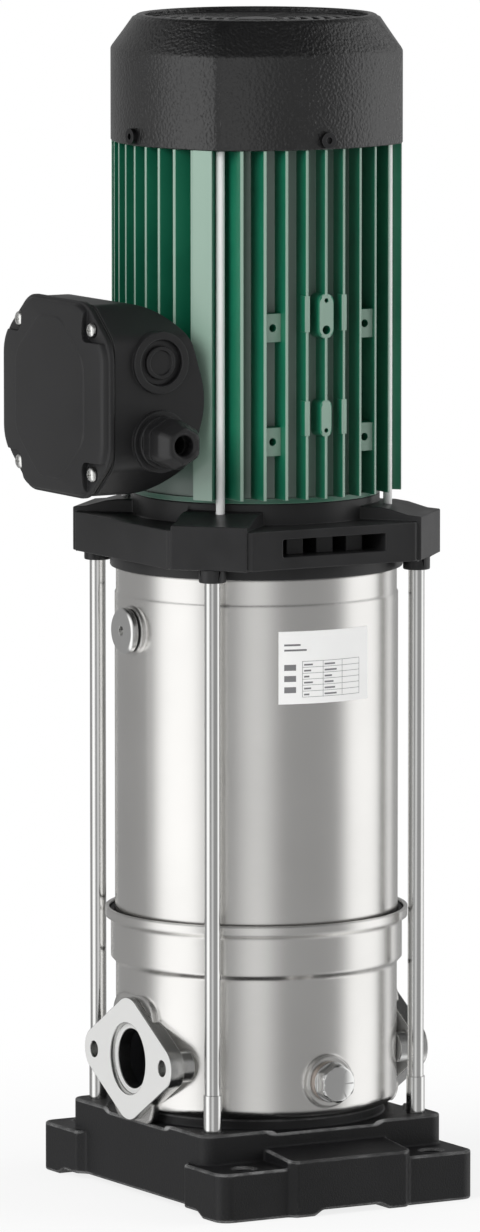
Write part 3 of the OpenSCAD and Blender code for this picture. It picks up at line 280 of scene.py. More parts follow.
def grain_group():
    """Grain: height and tone of a cast or moulded surface."""
    tree, given, result = new_group(
        "Grain", {"Scale": 900.0, "Pebble": 0.5}, {"Height": "Float", "Tone": "Float"})
    point = object_point(tree)
    fine = noise_node(tree, point, given["Scale"], 2.0, 0.55)
    cells = add_node(tree, "TexVoronoi", {"Vector": point, "Scale": given["Scale"]}, feature="SMOOTH_F1")
    pebble = math_node(tree, "MULTIPLY", cells.outputs["Distance"], given["Pebble"])
    feed(tree, math_node(tree, "SUBTRACT", fine, pebble), result["Height"])
    feed(tree, range_node(tree, noise_node(tree, point, 22.0, 3.0, 0.55), 0.3, 0.7), result["Tone"])
    return tree


def brushing_group():
    """Brushing: fine lines round the upright axis, for rolled and turned metal."""
    tree, given, result = new_group(
        "Brushing", {"Lines": 2500.0, "Run": 9.0}, {"Height": "Float", "Tone": "Float"})
    point = object_point(tree)
    x, y, z = axes(tree, point)
    round_axis = math_node(tree, "MULTIPLY", math_node(tree, "ARCTAN2", y, x), given["Run"])
    upwards = math_node(tree, "MULTIPLY", z, given["Lines"])
    spread = add_node(tree, "CombineXYZ", {"X": round_axis, "Z": upwards})
    feed(tree, noise_node(tree, spread.outputs[0], 1.0, 2.0, 0.6), result["Height"])
    feed(tree, range_node(tree, noise_node(tree, point, 14.0, 3.0, 0.5), 0.3, 0.7), result["Tone"])
    return tree


MADE = {}


def once(key, build, *values):
    """What a builder makes, built on first use and kept under its key."""
    if key not in MADE:
        MADE[key] = build(*values)
    return MADE[key]


class Finish:
    """A material under construction: its tree, its shader and short ways to add nodes."""

    def __init__(self, name, **values):
        self.material = bpy.data.materials.new(name)
        self.material.use_nodes = True
        self.tree = self.material.node_tree
        self.shader = self.tree.nodes["Principled BSDF"].inputs
        for label, value in values.items():
            self.shader[label.replace("_", " ").title().replace("Ior", "IOR")].default_value = value

    def edges(self, radius, wear, scale, depth):
        """Outputs of Soft Edges: bevel radius, width of the lighter edge line (edge wear and a painted edge
        highlight), scale and depth of its patches.
        """
        return self.shared(edge_group, radius, wear, scale, depth)

    def grain(self, scale, pebble):
        """Outputs of Grain."""
        return self.shared(grain_group, scale, pebble)

    def shared(self, build, *values):
        """Outputs of a shared group, whose inputs get this material's own values in their order."""
        node = add_node(self.tree, "Group", node_tree=once(build, build))
        for socket, value in zip(node.inputs, values):
            socket.default_value = value
        return node.outputs

    def mix(self, mask, first, second):
        """A colour that goes from the first to the second as the mask rises."""
        first, second = (v if isinstance(v, bpy.types.NodeSocket) else rgba(v) for v in (first, second))
        return add_node(self.tree, "Mix", {0: mask, 6: first, 7: second}, data_type="RGBA").outputs[2]

    def spread(self, value, low, high):
        """A value from 0 to 1 spread between two others."""
        return range_node(self.tree, value, 0.0, 1.0, low, high, smooth=False)

    def bump(self, height, depth, normal=None):
        """A Bump node that feeds the shader's normal."""
        node = add_node(self.tree, "Bump", {"Distance": depth, "Height": height})
        if normal is not None:
            feed(self.tree, normal, node.inputs["Normal"])
        feed(self.tree, node.outputs["Normal"], self.shader["Normal"])

    def link(self, socket, label):
        """Feeds a socket of the shader."""
        feed(self.tree, socket, self.shader[label])


def textured(name, edges, grain, tones, lit, rough, rough_span, depth, **values):
    """A grained material whose outer edges take the lit colour, a painted edge highlight; edges and grain are
    the values of their groups.
    """
    finish = Finish(name, **values)
    rim = finish.edges(*edges)
    texture = finish.grain(*grain)
    body = finish.mix(texture["Tone"], *tones)
    finish.link(finish.mix(rim["Mask"], body, lit), "Base Color")
    finish.link(finish.spread(texture["Tone"], rough, rough + rough_span), "Roughness")
    finish.bump(texture["Height"], depth, rim["Normal"])
    return finish.material


def painted_casting(name, base, edge_wear_and_highlight, radius, wear, grain, depth, rough):
    """Black paint over a sand casting, lighter along its outer edges: edge wear and a painted edge highlight.
    """
    return textured(name, (radius, wear, 90.0, 0.6), (grain, 0.4), (base, tinted(1.5, base)), edge_wear_and_highlight,
                    rough, 0.12, depth, specular_ior_level=0.36)


def bare_metal(name, base, rough, grain, depth):
    """Bare cast, wound or stacked metal."""
    # The outer edges are 1.4 times lighter: a painted edge highlight
    return textured(name, (0.0005, 0.0005, 50.0, 0.4), (grain, 0.3), (tinted(0.8, base), base),
                    tinted(1.4, base), rough, 0.12, depth, metallic=1.0)


def moulded(name, base, grain, pebble, depth, rough, radius=0.0008, gloss=0.6, coat=0.0):
    """Moulded plastic or rubber with a fine grain."""
    # The outer edges are 2.2 times lighter: a painted edge highlight
    return textured(name, (radius, 0.0008, 80.0, 0.3), (grain, pebble), (base, tinted(1.3, base)),
                    tinted(2.2, base), rough, 0.08, depth,
                    specular_ior_level=gloss, coat_weight=coat, coat_roughness=rough, coat_ior=1.7)


def steel(name, base, low, high, lines, run, depth, anisotropy, radius=0.0006):
    """Bare steel with fine brushing, its roughness between low and high."""
    finish = Finish(name, metallic=1.0, anisotropic=anisotropy)
    edges = finish.edges(radius, 0.0005, 40.0, 0.0)
    brushing = finish.shared(brushing_group, lines, run)
    finish.link(finish.mix(brushing["Tone"], tinted(0.95, base), base), "Base Color")
    finish.link(finish.spread(brushing["Height"], low, high), "Roughness")
    finish.bump(brushing["Height"], depth, edges["Normal"])
    return finish.material


def flange_steel(c):
    """Machined flange: a matt faced front, brighter round its rim."""
    finish = Finish("Flange Steel")
    edges = finish.edges(0.0006, 0.0006, 50.0, 0.2)
    texture = finish.grain(2600.0, 0.2)
    across = math_node(finish.tree, "ABSOLUTE", facing(finish.tree)["X"])
    face = range_node(finish.tree, across, 0.9, 0.97)
    finish.link(finish.mix(face, (0.62, 0.62, 0.61), (0.74, 0.74, 0.73)), "Base Color")
    finish.link(finish.spread(face, 1.0, 0.25), "Metallic")
    finish.link(finish.spread(face, 0.26, 0.55), "Roughness")
    finish.bump(texture["Height"], 0.00001, edges["Normal"])
    return finish.material


def laminations(c):
    """Stacked electrical sheet of 0.5 mm."""
    finish = Finish("Stacked Sheet", metallic=1.0, roughness=0.45)
    turns = math_node(finish.tree, "MULTIPLY", axes(finish.tree, object_point(finish.tree))["Z"], 12566.0)
    texture = finish.grain(700.0, 0.2)
    finish.link(finish.mix(texture["Tone"], (0.16, 0.16, 0.17), (0.26, 0.26, 0.28)), "Base Color")
    finish.bump(math_node(finish.tree, "SINE", turns), 0.00004)
    return finish.material


def green_aluminium(c):
    """Green paint of the motor, with a painted highlight in pale green on the fin tips and outer edges, and a
    greyer barrel between the fins.
    """
    finish = Finish("Motor Paint", specular_ior_level=0.7, coat_weight=0.35, coat_roughness=0.2)
    tree = finish.tree
    point = axes(tree, object_point(tree))
    reach = sizes().face_curve
    back = reach - BARREL_HIGH.x
    x = math_node(tree, "ABSOLUTE", point["X"])
    y = math_node(tree, "ABSOLUTE", point["Y"])

    def distance(first, second):
        """Length of the diagonal over two distances."""
        squares = [math_node(tree, "POWER", value, 2.0) for value in (first, second)]
        return math_node(tree, "SQRT", math_node(tree, "ADD", *squares))

    curves = [distance(math_node(tree, "ADD", along, back), across) for along, across in ((x, y), (y, x))]
    # Painted highlight: the fin tips, where the curve of the faces is reached, take the pale green
    tip = range_node(tree, math_node(tree, "MAXIMUM", *curves), reach - 0.4 * MM, reach - 0.15 * MM)
    edges = finish.edges(0.0004, 0.0006, 120.0, 0.3)
    texture = finish.grain(1600.0, 0.3)
    # The outer edges get the painted highlight at about half strength
    pale = math_node(tree, "MAXIMUM", tip, math_node(tree, "MULTIPLY", edges["Mask"], 0.55))
    wall = sizes().barrel_radius
    floor = range_node(tree, distance(x, y), wall + 0.5 * MM, wall + 0.2 * MM)
    body = finish.mix(texture["Tone"], c.paint, tinted(1.25, c.paint))
    finish.link(finish.mix(pale, finish.mix(floor, body, c.paint_floor), c.paint_highlight), "Base Color")
    finish.link(finish.spread(texture["Tone"], 0.3, 0.42), "Roughness")
    finish.bump(texture["Height"], 0.00002, edges["Normal"])
    return finish.material


def pads_with_highlight(c):
    """Green paint of the foot pads and bosses, with a painted highlight in pale green on their fronts and
    outer edges.
    """
    finish = Finish("Pads With Painted Highlight", specular_ior_level=0.7, roughness=0.38)
    tree = finish.tree
    # Painted highlight on the faces that point to -Y, and at half strength on the outer edges
    front = range_node(tree, math_node(tree, "MULTIPLY", facing(tree)["Y"], -1.0), 0.9, 0.97)
    texture = finish.grain(1600.0, 0.3)
    edges = finish.edges(0.0004, 0.0005, 120.0, 0.3)
    pale = math_node(tree, "MAXIMUM", front, math_node(tree, "MULTIPLY", edges["Mask"], 0.5))
    body = finish.mix(texture["Tone"], c.paint, tinted(1.25, c.paint))
    finish.link(finish.mix(pale, body, c.paint_highlight), "Base Color")
    finish.bump(texture["Height"], 0.00002, edges["Normal"])
    return finish.material


def toned(name, rough, scale, first, second, depth):
    """A plain surface between two colours, with a fine grain."""
    finish = Finish(name, roughness=rough)
    texture = finish.grain(scale, 0.2)
    finish.link(finish.mix(texture["Tone"], first, second), "Base Color")
    finish.bump(texture["Height"], depth)
    return finish.material


# Each finish from the colour settings c. The numbers follow the order that its builder names.
FINISHES = {
    # The third colour of a painted casting is that of its outer edges: edge wear and a painted edge highlight
    "cast_black": lambda c: painted_casting(
        "Black Casting", c.casting, c.casting_edge_wear_and_highlight, 0.0012, 0.0024, 1100.0, 0.00016, 0.42),
    "lantern_black": lambda c: painted_casting(
        "Lantern Paint", c.lantern, tinted(3.0, c.lantern), 0.0008, 0.0009, 1500.0, 0.00003, 0.3),
    "stainless_sheet": lambda c: steel(
        "Satin Sheet", c.sheet, 0.17, 0.29, 5200.0, 7.0, 0.000004, 0.35, 0.0022),
    "machined_steel": lambda c: steel("Turned Steel", c.bright, 0.1, 0.2, 6500.0, 3.0, 0.000002, 0.3, 0.0005),
    "stage_steel": lambda c: steel("Pressed Steel", c.sheet, 0.22, 0.34, 3600.0, 5.0, 0.000003, 0.2),
    "bearing_steel": lambda c: steel("Bearing Steel", c.bright, 0.06, 0.12, 5200.0, 3.0, 0.000001, 0.0),
    "zinc_steel": lambda c: steel("Bright Zinc", c.zinc, 0.2, 0.36, 900.0, 6.0, 0.000002, 0.0, 0.0003),
    "flange_steel": flange_steel,
    "coupling_iron": lambda c: bare_metal("Coupling Iron", c.iron, 0.36, 1800.0, 0.00002),
    "grey_iron": lambda c: bare_metal("Grey Iron", c.iron, 0.42, 1400.0, 0.00003),
    "laminations": laminations,
    "copper": lambda c: bare_metal("Winding Copper", c.copper, 0.34, 800.0, 0.00008),
    "copper_ring": lambda c: bare_metal("Copper Ring", c.tinned, 0.22, 2200.0, 0.000005),
    "bronze": lambda c: bare_metal("Turned Bronze", c.bronze, 0.3, 2000.0, 0.00001),
    "black_screw": lambda c: bare_metal("Blackened Steel", (0.07, 0.07, 0.072), 0.3, 2600.0, 0.000005),
    "green_aluminium": green_aluminium,
    "pads_with_highlight": pads_with_highlight,
    "grained_plastic": lambda c: moulded(
        "Grained Moulding", tinted(0.5, c.moulding), 620.0, 0.9, 0.0004, 0.26, 0.0006, 0.7, 0.15),
    "box_plastic": lambda c: moulded("Box Moulding", c.moulding, 1900.0, 0.4, 0.00002, 0.36, 0.0012, 0.5),
    "gland_plastic": lambda c: moulded("Gland Moulding", c.moulding, 2400.0, 0.2, 0.00001, 0.34, 0.0006, 0.5),
    "terminal_plastic": lambda c: moulded("Terminal Resin", (0.03, 0.026, 0.022), 1800.0, 0.3, 0.00001, 0.4),
    "fan_plastic": lambda c: moulded("Fan Moulding", (0.03, 0.03, 0.031), 1500.0, 0.3, 0.00002, 0.45),
    "rubber": lambda c: moulded("Seal Rubber", c.rubber, 1400.0, 0.5, 0.00002, 0.55, 0.0004, 0.4),
    "seal_carbon": lambda c: moulded(
        "Lapped Carbon", (0.03, 0.029, 0.028), 3000.0, 0.1, 0.000002, 0.25, 0.0003),
    "white_zinc": lambda c: toned("Pale Zinc", 0.4, 1800.0, (0.92, 0.93, 0.92), (0.97, 0.97, 0.96), 0.000006),
    "label_white": lambda c: toned("Label Foil", 0.38, 400.0, tinted(0.97, c.label), c.label, 0.000004),
    "label_ink": lambda c: toned("Label Ink", 0.5, 1500.0, c.ink, tinted(1.4, c.ink), 0.000003),
}


def wear(obj, kind):
    """Gives an object one finish all over."""
    obj.data.materials.clear()
    obj.data.materials.append(once(kind, FINISHES[kind], colours()))


def place(obj, body, slot, *nodes, kind=None):
    """Finishes a piece, rides it on its body and lets it stand for CAD nodes."""
    wear(obj, kind or slot)
    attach(obj, body)
    if nodes:
        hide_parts(*nodes)
    return obj


def new_object(name, mesh):
    """Links a mesh into the scene as an object."""
    obj = bpy.data.objects.new(name, mesh)
    bpy.context.scene.collection.objects.link(obj)
    return obj


def from_bmesh(name, bm):
    """An object from a bmesh, which is freed."""
    mesh = bpy.data.meshes.new(name)
    bm.to_mesh(mesh)
    bm.free()
    return new_object(name, mesh)


def shade(obj, degrees=35.0):
    """Smooth shading that breaks at edges sharper than an angle."""
    obj.data.shade_smooth()
    obj.data.set_sharp_from_angle(angle=math.radians(degrees))


def apply_modifiers(obj):
    """Replaces an object's mesh by its evaluated one."""
    depsgraph = bpy.context.evaluated_depsgraph_get()
    mesh = bpy.data.meshes.new_from_object(obj.evaluated_get(depsgraph))
    obj.modifiers.clear()
    old = obj.data
    obj.data = mesh
    bpy.data.meshes.remove(old)


def round_edges(obj, width, segments=2, degrees=30.0):
    """Real rounded edges, with normals that keep the flats flat."""
    bevel = obj.modifiers.new("Edges", "BEVEL")
    bevel.width = width
    bevel.segments = segments
    bevel.limit_method = "ANGLE"
    bevel.angle_limit = math.radians(degrees)
    bevel.use_clamp_overlap = False
    bevel.miter_outer = "MITER_ARC"
    obj.data.shade_smooth()
    weighted = obj.modifiers.new("Normals", "WEIGHTED_NORMAL")
    weighted.keep_sharp = True
    weighted.weight = 100
    apply_modifiers(obj)
    return obj


def rounded_copy(node, name, width, segments=2):
    """A copy of a CAD node's shape with real rounded edges."""
    mesh = frame["nodes"][node].data.copy()
    mesh.name = name
    bm = bmesh.new()
    bm.from_mesh(mesh)
    bmesh.ops.remove_doubles(bm, verts=bm.verts, dist=0.008 * MM)
    bmesh.ops.dissolve_limit(bm, angle_limit=math.radians(0.6), verts=bm.verts, edges=bm.edges)
    bm.to_mesh(mesh)
    bm.free()
    return round_edges(new_object(name, mesh), width, segments)


def skin(rings, closed=False, cap_start=False, cap_end=False):
    """Quads over rings of equal length; closed joins the last ring to the first."""
    count = len(rings[0])
    verts = [p for ring in rings for p in ring]
    spans = len(rings) if closed else len(rings) - 1
    faces = []
    for i in range(spans):
        low = i * count
        high = ((i + 1) % len(rings)) * count
        for j in range(count):
            k = (j + 1) % count
            faces.append((low + j, low + k, high + k, high + j))
    if cap_start:
        faces.append(tuple(reversed(range(count))))
    if cap_end:
        faces.append(tuple(range((len(rings) - 1) * count, len(rings) * count)))
    return verts, faces


def mesh_object(name, verts, faces, degrees=35.0):
    """An object from points and faces, with its normals pointing outwards."""
    mesh = bpy.data.meshes.new(name)
    mesh.from_pydata(verts, [], faces)
    bm = bmesh.new()
    bm.from_mesh(mesh)
    bmesh.ops.recalc_face_normals(bm, faces=bm.faces)
    bm.to_mesh(mesh)
    bm.free()
    obj = new_object(name, mesh)
    shade(obj, degrees)
    return obj


def solid(name, rings, degrees=CAST_ANGLE):
    """An object over rings of equal length, closed at both ends."""
    return mesh_object(name, *skin(rings, cap_start=True, cap_end=True), degrees)


def turned(name, profile, steps=96, degrees=35.0, closed=False):
    """A solid turned about Z from (radius, height) points, from one end of the axis to the other."""
    angles = [2 * math.pi * i / steps for i in range(steps)]
    rings = [[(r * math.cos(a), r * math.sin(a), z) for a in angles] for r, z in profile]
    verts, faces = skin(rings, closed, not closed, not closed)
    return mesh_object(name, verts, faces, degrees)


def round_corner(r0, z0, r1, z1, radius, steps=4):
    """Points of a quarter round from (r0, z0) to (r1, z1), bulging outwards and upwards."""
    centre = (min(r0, r1), min(z0, z1))
    start = math.atan2(z0 - centre[1], r0 - centre[0])
    end = math.atan2(z1 - centre[1], r1 - centre[0])
    return [(centre[0] + radius * math.cos(start + (end - start) * i / steps),
             centre[1] + radius * math.sin(start + (end - start) * i / steps)) for i in range(steps + 1)]


def stand(obj, place_at, direction):
    """Puts a piece that was turned about Z at a point, its axis along a direction."""
    turn = Vector((0, 0, 1)).rotation_difference(Vector(direction)).to_matrix().to_4x4()
    obj.data.transform(Matrix.Translation(place_at) @ turn)
    obj.data.update()
    return obj


def joined(name, objects):
    """One object from several, in their order."""
    bm = bmesh.new()
    for obj in objects:
        bm.from_mesh(obj.data)
        bpy.data.objects.remove(obj)
    return from_bmesh(name, bm)


def cut(obj, tools):
    """Cuts tools out of a piece with exact booleans and removes them."""
    for tool in tools:
        difference = obj.modifiers.new("Cut", "BOOLEAN")
        difference.operation = "DIFFERENCE"
        difference.solver = "EXACT"
        difference.object = tool
    apply_modifiers(obj)
    for tool in tools:
        bpy.data.objects.remove(tool)
    return obj


def face_reach(angle, grow=0.0):
    """Distance from the axis to the curved square of the motor's faces."""
    away = (angle + math.pi / 4) % (math.pi / 2) - math.pi / 4
    radius = sizes().face_curve + grow
    back = sizes().face_curve - BARREL_HIGH.x
    return math.sqrt(radius ** 2 - (back * math.sin(away)) ** 2) - back * math.cos(away)


def tip_at(across):
    """How far the fin tips reach at a distance across from the middle of a face."""
    radius = sizes().face_curve
    return math.sqrt(radius ** 2 - across ** 2) - (radius - BARREL_HIGH.x)


def box_top(reach, across):
    """Lowest level of a fin over the terminal box, whose back and top edge are rounded."""
    room = 1.5 * MM
    back = 64 * MM
    neck_half = 30 * MM
    neck_rise = 34 * MM
    back_round = 46 * MM
    top_round = 32 * MM
    centre = (BOX_LOW.z + BOX_HIGH.z) / 2
    level = centre + 1 * MM
    if abs(across) < neck_half + room:
        level = centre + neck_rise + room
    rounds = (back_round, back + back_round, centre), (top_round, back + 37 * MM, BOX_HIGH.z - top_round)
    for radius, x, z in rounds:
        inside = (radius + room) ** 2 - (reach - x) ** 2
        if inside > 0:
            level = max(level, z + math.sqrt(inside))
    return level


def fin(across, low_at, top, turn):
    """One cooling fin that reaches out along X from the barrel, then turned to its face."""
    s = sizes()
    steps = 8
    sunk = 1.5 * MM
    half = s.fin_thickness / 2
    soft = s.fin_edge
    root = math.sqrt((s.barrel_radius - sunk) ** 2 - across ** 2)
    tips = [tip_at(across - half), tip_at(across + half)]
    shares = [(i / steps, half, 0.0) for i in range(steps)]
    rings = []
    for share, wide, inset in shares + [(1.0, half, soft), (1.0, half - soft, 0.0)]:
        left, right = (root + (tip - inset - root) * share for tip in tips)
        drop = soft if wide < half else 0.0
        foot = low_at((left + right) / 2, across) + drop
        rings.append([(left, across - wide, foot), (right, across + wide, foot),
                      (right, across + wide, top - drop), (left, across - wide, top - drop)])
    obj = solid("fin", rings)
    obj.data.transform(Matrix.Rotation(turn, 4, "Z"))
    return obj


def corner_rib(diagonal, side, low, top):
    """The thick rib beside a stud, from its groove wall out to the curve of the faces."""
    s = sizes()
    gap = 0.4 * MM
    width = 11.2 * MM
    sunk = 4 * MM
    steps = 12
    near = s.stud_radius + gap
    far = near + width
    root = s.barrel_radius - sunk
    plan = [(root, near), (root, far)]
    for i in range(steps + 1):
        off = far + (near - far) * i / steps
        out = s.barrel_radius
        for _ in range(12):
            reach = face_reach(diagonal + side * math.atan2(off, out))
            out = math.sqrt(reach ** 2 - off ** 2)
        plan.append((out, off))
    points = [(out * math.cos(diagonal) - side * off * math.sin(diagonal),
               out * math.sin(diagonal) + side * off * math.cos(diagonal)) for out, off in plan]
    return solid("corner_rib", [[(x, y, z) for x, y in points] for z in (low, top)])


def motor_barrel():
    """Barrel with nine fins to a face that stop over the terminal box, and a thick rib beside each stud."""
    s = sizes()
    low, top = BARREL_LOW.z, BARREL_HIGH.z
    wall = 6.7 * MM
    ring_proud = 1.8 * MM
    ring_top = low + 2.8 * MM
    start = ring_top - 0.2 * MM
    inner = s.barrel_radius - wall
    profile = [(inner, low), (s.barrel_radius + ring_proud, low), (s.barrel_radius + ring_proud, ring_top),
               (s.barrel_radius, ring_top), (s.barrel_radius, top), (inner, top)]
    parts = [turned("barrel_tube", profile, 192, closed=True)]
    # The middle fin in front makes room for its two bosses
    boss_spans = [low + v * MM for v in (36.8, 54.6, 89.3, 111.3)]
    for face in range(4):
        pitch = s.fin_pitch if face % 2 == 0 else s.pad_pitch
        for k in range(-4, 5):
            spans = [(box_top if face == 2 else start, top)]
            if face == 3 and k == 0:
                spans = zip((start, boss_spans[1], boss_spans[3]), (boss_spans[0], boss_spans[2], top))
            for foot, end in spans:
                low_at = foot if callable(foot) else lambda reach, across: foot
                parts.append(fin(k * pitch, low_at, end, face * math.pi / 2))
    for corner in range(4):
        side = -1 if corner % 2 == 0 else 1
        parts.append(corner_rib(math.pi / 4 + corner * math.pi / 2, side, start, top))
    return joined("motor_barrel", parts)


def drill(x, z, diameter, front, depth):
    """A cylinder that cuts a blind hole into a front face."""
    tool = turned("drill", [(diameter / 2, -depth), (diameter / 2, 4 * MM)], 32)
    return stand(tool, (x, -front, z), (0, -1, 0))


def oval_boss(z, width, height, holes):
    """Upright oval boss on the middle fin, with blind holes given as (diameter, height)."""
    half = width / 2
    run = (height - width) / 2
    chamfer = 0.5 * MM
    outline = [(half * math.cos(a), run + half * math.sin(a)) for a in (math.pi * i / 16 for i in range(17))]
    outline += [(-x, -v) for x, v in outline]
    front = BARREL_HIGH.x
    levels = (sizes().barrel_radius - 1 * MM, 1.0), (front - chamfer, 1.0), (front, 1 - chamfer / half)
    rings = [[(x * shrink, -y, z + v * shrink) for x, v in outline] for y, shrink in levels]
    boss = solid("oval_boss", rings)
    return cut(boss, [drill(0.0, at, diameter, front, 8 * MM) for diameter, at in holes])


def motor_pads():
    """Foot pads between two fins, oval bosses on the middle fin and thick tips beside them."""
    s = sizes()
    level = BARREL_LOW.z
    setback = 2.4 * MM
    pad_depth = 11 * MM
    pad_half = 7.7 * MM
    front = tip_at(3 * s.pad_pitch - s.fin_thickness / 2) - setback
    half = s.pad_pitch / 2
    parts = []
    for z in (level + 33.8 * MM, level + 94.6 * MM):
        for side in SIDES:
            x = side * 2.5 * s.pad_pitch
            pad = beam("foot_pad", (x - half, -front, z - pad_half),
                       (x + half, pad_depth - front, z + pad_half), 0.4 * MM)
            parts.append(cut(pad, [drill(x, z, 4.2 * MM, front, 9 * MM)]))
    parts.append(oval_boss(level + 100.3 * MM, 9.4 * MM, 24 * MM,
                           ((4.8 * MM, level + 93 * MM), (2.4 * MM, level + 108.7 * MM))))
    parts.append(oval_boss(level + 45.7 * MM, 7 * MM, 19.8 * MM, ((2.4 * MM, level + 39.3 * MM),)))
    reach = tip_at(s.pad_pitch) + 0.05 * MM
    for z, height in ((level + 101.8 * MM, 19.4 * MM), (level + 46.1 * MM, 18.7 * MM)):
        for side in SIDES:
            x = side * s.pad_pitch
            parts.append(beam("thick_tip", (x - s.fin_thickness, -reach, z - height / 2),
                              (x + s.fin_thickness, 5 * MM - reach, z + height / 2), 0.3 * MM))
    pads = joined("motor_pads", parts)
    shade(pads, CAST_ANGLE)
    return pads


def stud_shanks():
    """Four long studs, thinner where they pass the lantern and the nuts."""
    s = sizes()
    thin = 2 * MM
    step = 0.4 * MM
    ends = (STUDS_LOW.z, STUDS_LOW.z + 7.7 * MM, BARREL_HIGH.z - 0.3 * MM, STUDS_HIGH.z)
    profile = [(thin, ends[0]), (thin, ends[1]), (s.stud_radius, ends[1] + step),
               (s.stud_radius, ends[2] - step), (thin, ends[2]), (thin, ends[3] - step),
               (thin - step, ends[3])]
    centre = STUDS_HIGH.x - thin
    return joined("stud_shanks", [
        stand(turned("stud", profile, 40), (x * centre, y * centre, 0), (0, 0, 1)) for x, y in CORNERS])


def cover_ring(z, grow, blend=0.0, radius=0.0, steps=192):
    """One level of the fan cover: the curved square, blended towards a circle."""
    ring = []
    for i in range(steps):
        angle = math.pi / 4 + 2 * math.pi * i / steps
        reach = (1 - blend) * face_reach(angle, grow) + blend * radius
        ring.append((reach * math.cos(angle), reach * math.sin(angle), z))
    return ring


def fan_cover_shell():
    """Fan cover: curved sides, a sloped shoulder, a round rim and a recessed grille."""
    s = sizes()
    wall = 2.2 * MM
    proud = COVER_HIGH.x - BARREL_HIGH.x
    low, top = COVER_LOW.z, COVER_HIGH.z
    line = top - s.shoulder
    rim = s.rim_radius
    bead = ((0.2, 1.2), (0.9, 0.5), (1.8, 0.12), (3.0, 0.0), (4.2, 0.0), (4.8, 0.15), (5.2, 0.7), (5.3, 3.4))

    def on_slope(blend, inset=0.0):
        """A level of the shoulder, part of the way up."""
        return cover_ring(line + s.shoulder * blend, proud - inset, blend, rim - inset)

    rings = [
        cover_ring(low, proud - wall), cover_ring(low, proud - 0.5 * MM), cover_ring(low + 0.5 * MM, proud),
        cover_ring(low + 2 * MM, proud), cover_ring(line - 1.2 * MM, proud),
        cover_ring(line - 0.4 * MM, proud - 0.05 * MM),
        on_slope(0.03, 0.1 * MM), on_slope(0.08), on_slope(0.5), on_slope(0.9),
    ]
    rings += [cover_ring(top - drop * MM, 0.0, 1.0, rim - inset * MM) for inset, drop in bead]
    rings += [
        cover_ring(top - 5 * MM, 0.0, 1.0, rim - 5.3 * MM),
        cover_ring(line - 1 * MM, proud - wall), cover_ring(low + 2 * MM, proud - wall),
    ]
    shell = mesh_object("cover_shell", *skin(rings, closed=True), 30.0)
    return joined("fan_cowl", [shell] + grille_bars(top, rim))


def grille_bars(top, rim):
    """Rings, spokes and centre disc of the grille."""
    s = sizes()
    high = top - 2.6 * MM
    low = high - 2.4 * MM
    half = s.grille_bar / 2
    hub = 10 * MM
    axle = 0.3 * MM
    soft = 0.5 * MM
    count = int((rim - 12.2 * MM) / s.grille_pitch)
    outer = hub + half
    bars = [turned("grille_hub", [
        (axle, low), (outer, low), (outer, high - soft), (outer - soft, high),
        (hub * 0.6, high + 0.5 * MM), (axle, high + 0.8 * MM)], 64)]
    for k in range(1, count + 1):
        r = hub + k * s.grille_pitch
        outer = rim - 5 * MM if k == count else r + half
        inner = r - half
        bars.append(turned("grille_ring", [
            (inner, low), (outer, low), (outer, high - soft), (outer - soft, high),
            (inner + soft, high), (inner, high - soft)], 96, closed=True))
    wide = 1.5 * MM
    for i in range(8):
        spoke = beam("grille_spoke", (hub * 0.5, -wide, low), (rim - 4 * MM, wide, high - 0.2 * MM), soft)
        spoke.data.transform(Matrix.Rotation(math.pi / 4 * i, 4, "Z"))
        bars.append(spoke)
    return bars


def block(name, low, high, soft, segments, along_x=False):
    """A block between two corners whose edges are rounded, all of them or only those along X."""
    bm = bmesh.new()
    bmesh.ops.create_cube(bm, size=1.0)
    size = [b - a for a, b in zip(low, high)]
    middle = [(a + b) / 2 for a, b in zip(low, high)]
    bmesh.ops.transform(bm, matrix=Matrix.Translation(middle) @ Matrix.Diagonal((*size, 1.0)), verts=bm.verts)
    edges = [e for e in bm.edges if not along_x or abs(e.verts[0].co.x - e.verts[1].co.x) > 1 * MM]
    bmesh.ops.bevel(bm, geom=edges, offset=soft, segments=segments, profile=0.5, affect="EDGES")
    return from_bmesh(name, bm)


def beam(name, low, high, soft):
    """A straight bar between two corners with rounded edges."""
    bar = block(name, low, high, soft, 2)
    shade(bar)
    return bar


def box_outline(half_w, half_h, radius, cut_w, cut_h, bow=0.0, steps=7):
    """Outline of the terminal box seen along X: a rectangle whose corners are cut and rounded."""
    slope = math.atan2(cut_w, cut_h)
    corner = []
    for start, end, y, z in ((0.0, slope, half_w - radius, half_h - radius - cut_h),
                             (slope, math.pi / 2, half_w - radius - cut_w, half_h - radius)):
        for i in range(steps + 1):
            a = start + (end - start) * i / steps
            corner.append((y + radius * math.cos(a), z + radius * math.sin(a)))
    points = corner + [(-y, z) for y, z in reversed(corner)]
    points += [(-y, -z) for y, z in corner] + [(y, -z) for y, z in reversed(corner)]
    return [(y * (1 - bow * (z / half_h) ** 2), z) for y, z in points]


